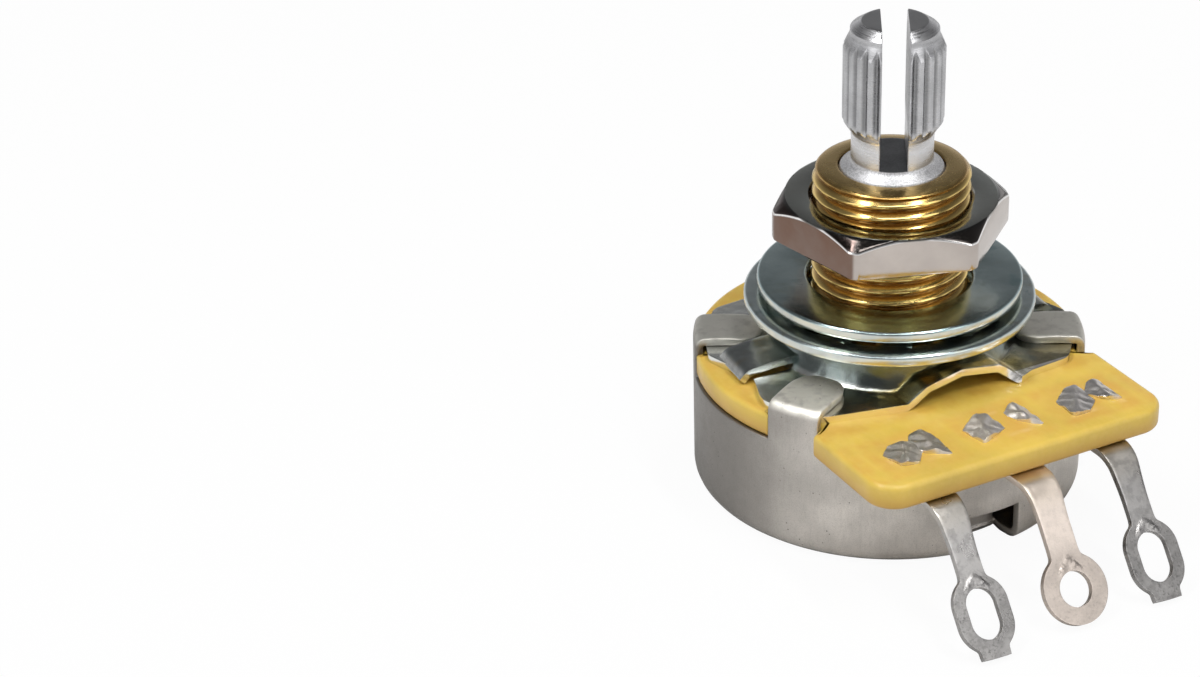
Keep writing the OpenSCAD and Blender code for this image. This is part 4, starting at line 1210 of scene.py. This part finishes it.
def nut_skin(s):
    """The nut round its bore: a hexagon's radius for each angle, cut at the corners, with the
    top chamfered where the radius passes its flat face."""
    angles = around(432)
    local = (angles - s.turn) % (TURN / 6) - TURN / 12
    flat = soft_min(s.half_flats / np.cos(local), s.corner + 0 * local, 0.02)
    bore, lead = s.bore, 0.16

    def top(r):
        """Height of the chamfered top at a radius."""
        return s.top - NUT_SLOPE * np.maximum(r - s.face, 0)

    rings = [(bore, s.low + lead), (bore + 0.10, s.low + 0.20), (bore + lead, s.low),
             (s.face, s.low), (flat - 0.12, s.low), (flat - 0.03, s.low + 0.03),
             (flat, s.low + 0.12), (flat, s.low + 0.8), (flat, s.low + 1.5),
             (flat, top(flat) - 0.13), (flat - 0.025, top(flat) - 0.05),
             (flat - 0.10, top(flat - 0.10)), (s.face + 0.03, s.top - 0.015),
             (s.face - 0.06, s.top), (bore + lead + 0.05, s.top), (bore + lead, s.top - 0.01),
             (bore + 0.02, s.top - lead + 0.02), (bore, s.top - lead - 0.05)]
    return Skin().band(np.stack([polar(r, angles, z) for r, z in rings]))


def nut_finish(rgb):
    """Polished nickel with faint scuffs, and painted light: a pale face with a painted highlight
    beside a mauve one in painted shade, whose border lies along the corner between the two, a
    greenish top in painted shade, and a chamfer in painted shade with a painted highlight on
    its arris."""
    f = Finish("nickel_nut")
    scuff = f.noise(0.25, 4.0, place=f.stretched((1.0, 1.0, 4.0)), seed=2.0)
    cloud = f.noise(2.5, 3.0)
    # The corner between the painted pale face and the painted mauve face
    corner = f.along((0.641, -0.767))
    # On the chamfer's cone this height is the same all over
    radius = f.radius()
    cone = f.z + radius * NUT_SLOPE
    # Painted highlight on one face and painted shade, mauve, on the other
    f.base = f.blend(corner.ease(-0.12, 0.12), (0.19, 0.113, 0.083), tint(rgb, 1.45))
    # Painted shade: a dark greenish top
    f.paint(f.z.ease(18.45, 18.62) * 0.8, (0.34, 0.38, 0.36))
    f.paint(cloud.ease(0.3, 0.7) * 0.3, tint(rgb, 0.7))
    # Painted shade on the chamfer
    f.paint(cone.ease(23.335, 23.36) * radius.ease(6.31, 6.36) * 0.85, (0.035, 0.03, 0.03))
    # Painted highlight on the chamfer's arris
    f.paint(cone.ease(23.25, 23.30) * cone.ease(23.36, 23.33) * radius.ease(6.34, 6.40),
            (0.96, 0.94, 0.92))
    return f.surface(scuff.ease(0.35, 0.8, 0.10, 0.22), f.bump(cloud + scuff * 0.2, 0.3, 0.02))


class CONTROL_OT_nut(PieceMaker, bpy.types.Operator):
    """Makes the chamfered hex nut"""
    bl_idname = "control.nut"
    bl_label = "Make nut"

    def execute(self, context):
        nut = nut_skin(sizes(context, "nut")).piece("nut_hex", "nut", "nickel_nut",
                                                    ["hex_nut"])
        nut.data.set_sharp_from_angle(angle=math.radians(30))
        dress(nut, nut_finish(self.colours(context).nut))
        return {"FINISHED"}


# Shaft

def shaft_body_skin(s):
    """The shaft turned round its axis from its riveted head up to the slot's floor."""
    t = np.linspace(0, 1, 10)
    foot = np.stack([s.neck + (s.radius - 0.12 - s.neck) * (1 - t) ** 1.7,
                     s.shoulder + (s.slot_floor - s.shoulder) * t], -1)
    profile = np.concatenate([
        [(0, 2.3), (2.68, 2.3), (2.93, 2.9), (1.98, 2.9), (1.98, 4.4), (3.13, 4.4),
         (s.radius, 4.45), (s.radius, 9.34), (2.625, 9.34), (2.625, 9.85), (s.radius, 9.85),
         (s.radius, 15.0), (s.radius, s.shoulder - 0.27), (s.radius - 0.02, s.shoulder - 0.20),
         (s.radius - 0.10, s.shoulder - 0.04)], foot,
        [(s.neck * 0.66, s.slot_floor), (s.neck * 0.33, s.slot_floor), (0, s.slot_floor)]])
    return Skin().grid(revolved(profile, around(128)), close_cols=True)


def shaft_prong_skin(s, flip):
    """Half of the split end: at each height a D of the turned radius, grooved by the knurl and
    cut at half the slot's width from the axis, shrunk to a point at both ends."""
    fine = np.linspace(s.knurl_low - 0.85, s.knurl_top + 1.15, 46)
    z = np.r_[s.slot_floor - 0.2, s.slot_floor, 21.6, 22.2, fine, s.tip - 0.38, s.tip - 0.30,
              s.tip - 0.06, s.tip - 0.015, s.tip]
    turned = np.interp(z, [s.slot_floor, s.neck_top - 0.1, s.neck_top + 0.1, s.knurl_low - 0.05,
                           s.knurl_low + 0.05, s.knurl_top, 28.95, s.tip - 0.42, s.tip - 0.03,
                           s.tip],
                       [s.neck, s.neck, s.neck + 0.05, s.knurl - 0.03, s.knurl, s.knurl, 2.62,
                        2.60, 1.98, 1.90])
    last = np.arccos((s.slot_half + 0.05) / turned)[:, None]
    theta = last * np.linspace(-1, 1, 201)
    pitch = TURN / s.grooves
    phase = np.abs((theta / pitch) % 1.0 - 0.5)
    floor_r = s.knurl - s.groove * smooth_step(1 - phase / 0.36) ** 0.8
    r = np.minimum(turned[:, None], floor_r)
    x, y = r * np.cos(theta), r * np.sin(theta)
    chord = (y[:, -1:] - 0.04) * np.linspace(1, -1, 9)
    x = np.concatenate([x, s.slot_half + 0 * chord], 1)
    y = np.concatenate([y, chord], 1)
    grid = lattice(x, y, z[:, None])

    def shrunk(row, by):
        """A row drawn toward the middle of the D."""
        middle = np.array([1.65, 0.0, row[0, 2]])
        return (middle + (row - middle) * by)[None]

    grid = np.concatenate([shrunk(grid[0], 0.0), grid,
                           *[shrunk(grid[-1], by) for by in (0.8, 0.4, 0.0)]])
    # The chord faces the slot, whose long line is turned from the Y axis
    return rotated(grid, -s.slot_turn + (math.pi if flip else 0.0))


def shaft_finish(rgb):
    """Turned aluminium: soft grey with fine turning lines and grit, paler below the knurl, and
    painted shade that darkens its tip and the knurl's grooves and makes the slot's floor nearly
    black."""
    f = Finish("shaft_aluminium")
    line = f.noise(0.04, 2.0, place=f.stretched((0.04, 0.04, 1.0)), seed=3.0)
    grit = f.noise(0.09, 3.0, seed=8.0)
    radius = f.radius()
    top, cone = f.z.ease(29.66, 29.695), f.z.ease(21.3, 21.0)
    # Masks for the painted shade in the knurl's grooves and on the slot's floor
    knurl = f.z.ease(23.4, 23.8) * f.z.ease(28.9, 28.2) * radius.ease(2.98, 2.82)
    pit = f.z.ease(21.3, 21.15) * f.z.ease(20.9, 21.0) * radius.ease(2.43, 2.38)
    f.tone(f.noise(1.6, 4.0).ease(0.3, 0.7), rgb, 0.86, 1.08)
    f.paint(f.z.ease(23.5, 22.9), tint(rgb, 1.30))
    f.paint(cone * grit.ease(0.4, 0.6), tint(rgb, 0.85))
    # Painted shade: the tip darker
    f.paint(top * 0.85, tint(rgb, 0.42))
    f.paint(grit.ease(0.62, 0.75) * 0.35, tint(rgb, 0.5))
    # Painted shade in the knurl's grooves
    f.paint(knurl * 0.7, tint(rgb, 0.30))
    # Painted shade: the slot's floor nearly black
    f.paint(pit * 0.85, (0.05, 0.055, 0.06))
    rough = line.ease(0.3, 0.7, 0.24, 0.38) + top * 0.1 + f.z.ease(21.2, 21.0) * 0.2
    return f.surface(rough, f.bump(line + grit, 0.4, 0.012))


def spring_finish(name, rgb, rough):
    """A sprung metal inside the can: cloudy, with a fine grain and small dark specks."""
    f = Finish(name)
    fine = f.noise(0.12, 2.0, seed=3.0)
    speck = f.specks(0.9).ease(0.10, 0.04) * f.noise(1.6, 2.0, seed=7.0).ease(0.50, 0.62)
    f.tone(f.noise(2.4, 4.0).ease(0.30, 0.72), rgb, 0.86, 1.10)
    f.paint(speck * 0.35, tint(rgb, 0.18))
    return f.surface(fine.ease(0.25, 0.75, rough - 0.12, rough + 0.12) + speck * 0.2,
                     f.bump(fine, 0.4, 0.01))


def rotor_finish(rgb):
    """Moulded phenolic: dark brown with a paler fleck and a dull sheen."""
    f = Finish("rotor_phenolic")
    fleck = f.noise(0.3, 4.0)
    f.tone(fleck.ease(0.4, 0.7), rgb, 0.8, 1.6)
    return f.surface(fleck.ease(0.3, 0.7, 0.38, 0.55), f.bump(fleck, 0.3, 0.03), metallic=0.0)


class CONTROL_OT_shaft(PieceMaker, bpy.types.Operator):
    """Makes the shaft with its split knurled end, and finishes the parts inside the can"""
    bl_idname = "control.shaft"
    bl_label = "Make shaft"

    def execute(self, context):
        s = sizes(context, "shaft")
        colours = self.colours(context)
        skin = shaft_body_skin(s)
        for flip in (False, True):
            skin.grid(shaft_prong_skin(s, flip), close_cols=True)
        shaft = skin.piece("shaft_split", "spindle", "shaft_aluminium", ["shaft"])
        shaft.data.set_sharp_from_angle(angle=math.radians(32))
        dress(shaft, shaft_finish(colours.shaft))
        spring = spring_finish("spring_steel", colours.spring, 0.3)
        for node, finish in (("retaining_ring", spring), ("thrust_washer", spring),
                             ("rotor", rotor_finish(colours.rotor)),
                             ("wiper_contact", spring_finish("wiper_bronze", colours.wiper,
                                                             0.28))):
            dress(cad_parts[node], finish)
        return {"FINISHED"}


# Studio

# Each lamp: its name, its place toward the camera, to the right and up in millimetres, its
# width and height in metres, its power in watts, and its long side's direction in the same axes
LAMPS = (
    ("strip_left", (43, -142, 310), 0.034, 0.25, 0.56, (0.86, -0.5, 0)),
    ("strip_right", (58, 97, 310), 0.030, 0.24, 0.52, (0.94, 0.33, 0)),
    ("front_top", (165, 0, 310), 0.05, 0.22, 0.22, (0, 1, 0)),
    ("side_left", (160, -250, 170), 0.14, 0.26, 0.16, (0, 0, 1)),
    ("side_right", (180, 220, 170), 0.12, 0.24, 0.16, (0, 0, 1)),
)
# What the camera and the lamps point at, on the shaft's axis
TARGET = Vector((0, 0, 10))
# Grey levels that the surround shows to metal, from the horizon up
SURROUND = ((0.0, 0.95), (0.12, 0.88), (0.34, 0.30), (0.52, 0.16), (0.72, 0.11), (1.0, 0.07))
WHITE = (1.0, 1.0, 1.0)


def floor_finish():
    """A white sweep that the camera sees as white, and that still shows the object's soft
    shadow and lights it as a pale grey floor."""
    f = Finish("studio_floor")
    seen = f.node("ShaderNodeLightPath", output="Is Camera Ray")
    plain = f.node("ShaderNodeBsdfDiffuse", None, {"Color": (0.70, 0.70, 0.70, 1.0)})
    white = f.node("ShaderNodeEmission", None, {"Color": (*WHITE, 1.0), "Strength": 1.0})
    return f.finished(f.node("ShaderNodeMixShader", None,
                             {0: seen * 0.95, 1: plain, 2: white}))


def studio_world(scene):
    """A pale surround that the camera sees as white; metal sees it white near the horizon and
    darker overhead, like a sweep under a dim ceiling."""
    scene.world = bpy.data.worlds.new("studio")
    w = Tree(scene.world)
    seen = w.node("ShaderNodeLightPath", output="Is Camera Ray")
    height = w.split(w.node("ShaderNodeTexCoord", output="Generated"))[2]
    (low, first), *between, (high, last) = SURROUND
    stops = [(low, (first,) * 3), *[(at, (g, g, g * 1.02)) for at, g in between],
             (high, (last,) * 3)]
    grey = w.node("ShaderNodeValToRGB", {"stops": stops}, {0: height})
    back = w.node("ShaderNodeBackground", None, {"Color": w.blend(seen, grey, WHITE)})
    w.node("ShaderNodeOutputWorld", None, {"Surface": back}, output=None)


def camera_axes(view):
    """The camera's right, up and look directions, from its side turn, its rise and its roll."""
    look = Vector((math.sin(view.side) * math.cos(view.rise),
                   math.cos(view.side) * math.cos(view.rise), -math.sin(view.rise)))
    level = Vector((math.cos(view.side), -math.sin(view.side), 0.0))
    rise = level.cross(look)
    right = level * math.cos(view.roll) + rise * math.sin(view.roll)
    return right, rise * math.cos(view.roll) - level * math.sin(view.roll), look


def placed(obj, right, up, back, place):
    """Sets an object at a place in millimetres, with its axes along three directions."""
    turn = Matrix((right, up, back)).transposed().to_4x4()
    obj.matrix_world = Matrix.Translation(place * MM) @ turn


class CONTROL_OT_studio(PieceMaker, bpy.types.Operator):
    """Makes the pale floor, the soft lamps and the camera"""
    bl_idname = "control.studio"
    bl_label = "Make studio"

    def execute(self, context):
        scene = context.scene
        ends = np.array([-900.0, 900.0])
        floor = shown("studio_floor",
                      Skin().grid(lattice(ends[:, None], ends, -0.02)).mesh("studio_floor"))
        dress(floor, floor_finish())
        for name, place, width, height, power, side in LAMPS:
            data = bpy.data.lights.new(name, "AREA")
            data.shape, data.size, data.size_y, data.energy = "RECTANGLE", width, height, power
            place, side = (TOWARD * v[0] + ASIDE * v[1] + Vector((0, 0, v[2]))
                           for v in (place, side))
            back = (place - TARGET).normalized()
            across = side.cross(back).normalized()
            placed(shown(name, data), across, back.cross(across), back, place)
        studio_world(scene)
        view = sizes(context, "studio")
        data = bpy.data.cameras.new("photo_camera")
        data.sensor_width, data.lens = 36.0, view.lens
        data.clip_start, data.clip_end = 0.005, 10.0
        scene.camera = shown("photo_camera", data)
        right, up, look = camera_axes(view)
        placed(scene.camera, right, up, -look,
               TARGET - look * view.distance - right * view.right - up * view.above)
        scene.view_settings.view_transform = "Standard"
        return {"FINISHED"}


# Add-on

MAKERS = (CONTROL_OT_can, CONTROL_OT_board, CONTROL_OT_lugs, CONTROL_OT_plate,
          CONTROL_OT_bushing, CONTROL_OT_washers, CONTROL_OT_nut, CONTROL_OT_shaft,
          CONTROL_OT_studio)


class CONTROL_PT_panel(bpy.types.Panel):
    """Lists the pieces in the 3D view's sidebar"""
    bl_label = "Rotary control"
    bl_idname = "CONTROL_PT_panel"
    bl_space_type = "VIEW_3D"
    bl_region_type = "UI"
    bl_category = "Rotary control"

    def draw(self, context):
        for maker in MAKERS:
            self.layout.operator(maker.bl_idname, text=maker.bl_label)


CLASSES = (CanSizes, BoardSizes, LugSizes, PlateSizes, ThreadSizes, WasherSizes, NutSizes,
           ShaftSizes, FinishColours, StudioSizes, ControlSettings, *MAKERS, CONTROL_PT_panel)


def register():
    for each in CLASSES:
        bpy.utils.register_class(each)
    bpy.types.Scene.rotary_control = PointerProperty(type=ControlSettings)


def unregister():
    del bpy.types.Scene.rotary_control
    for each in reversed(CLASSES):
        bpy.utils.unregister_class(each)


def main():
    register()
    for maker in MAKERS:
        group, name = maker.bl_idname.split(".")
        getattr(getattr(bpy.ops, group), name)()
    bpy.context.view_layer.update()


if __name__ == "__main__":
    main()
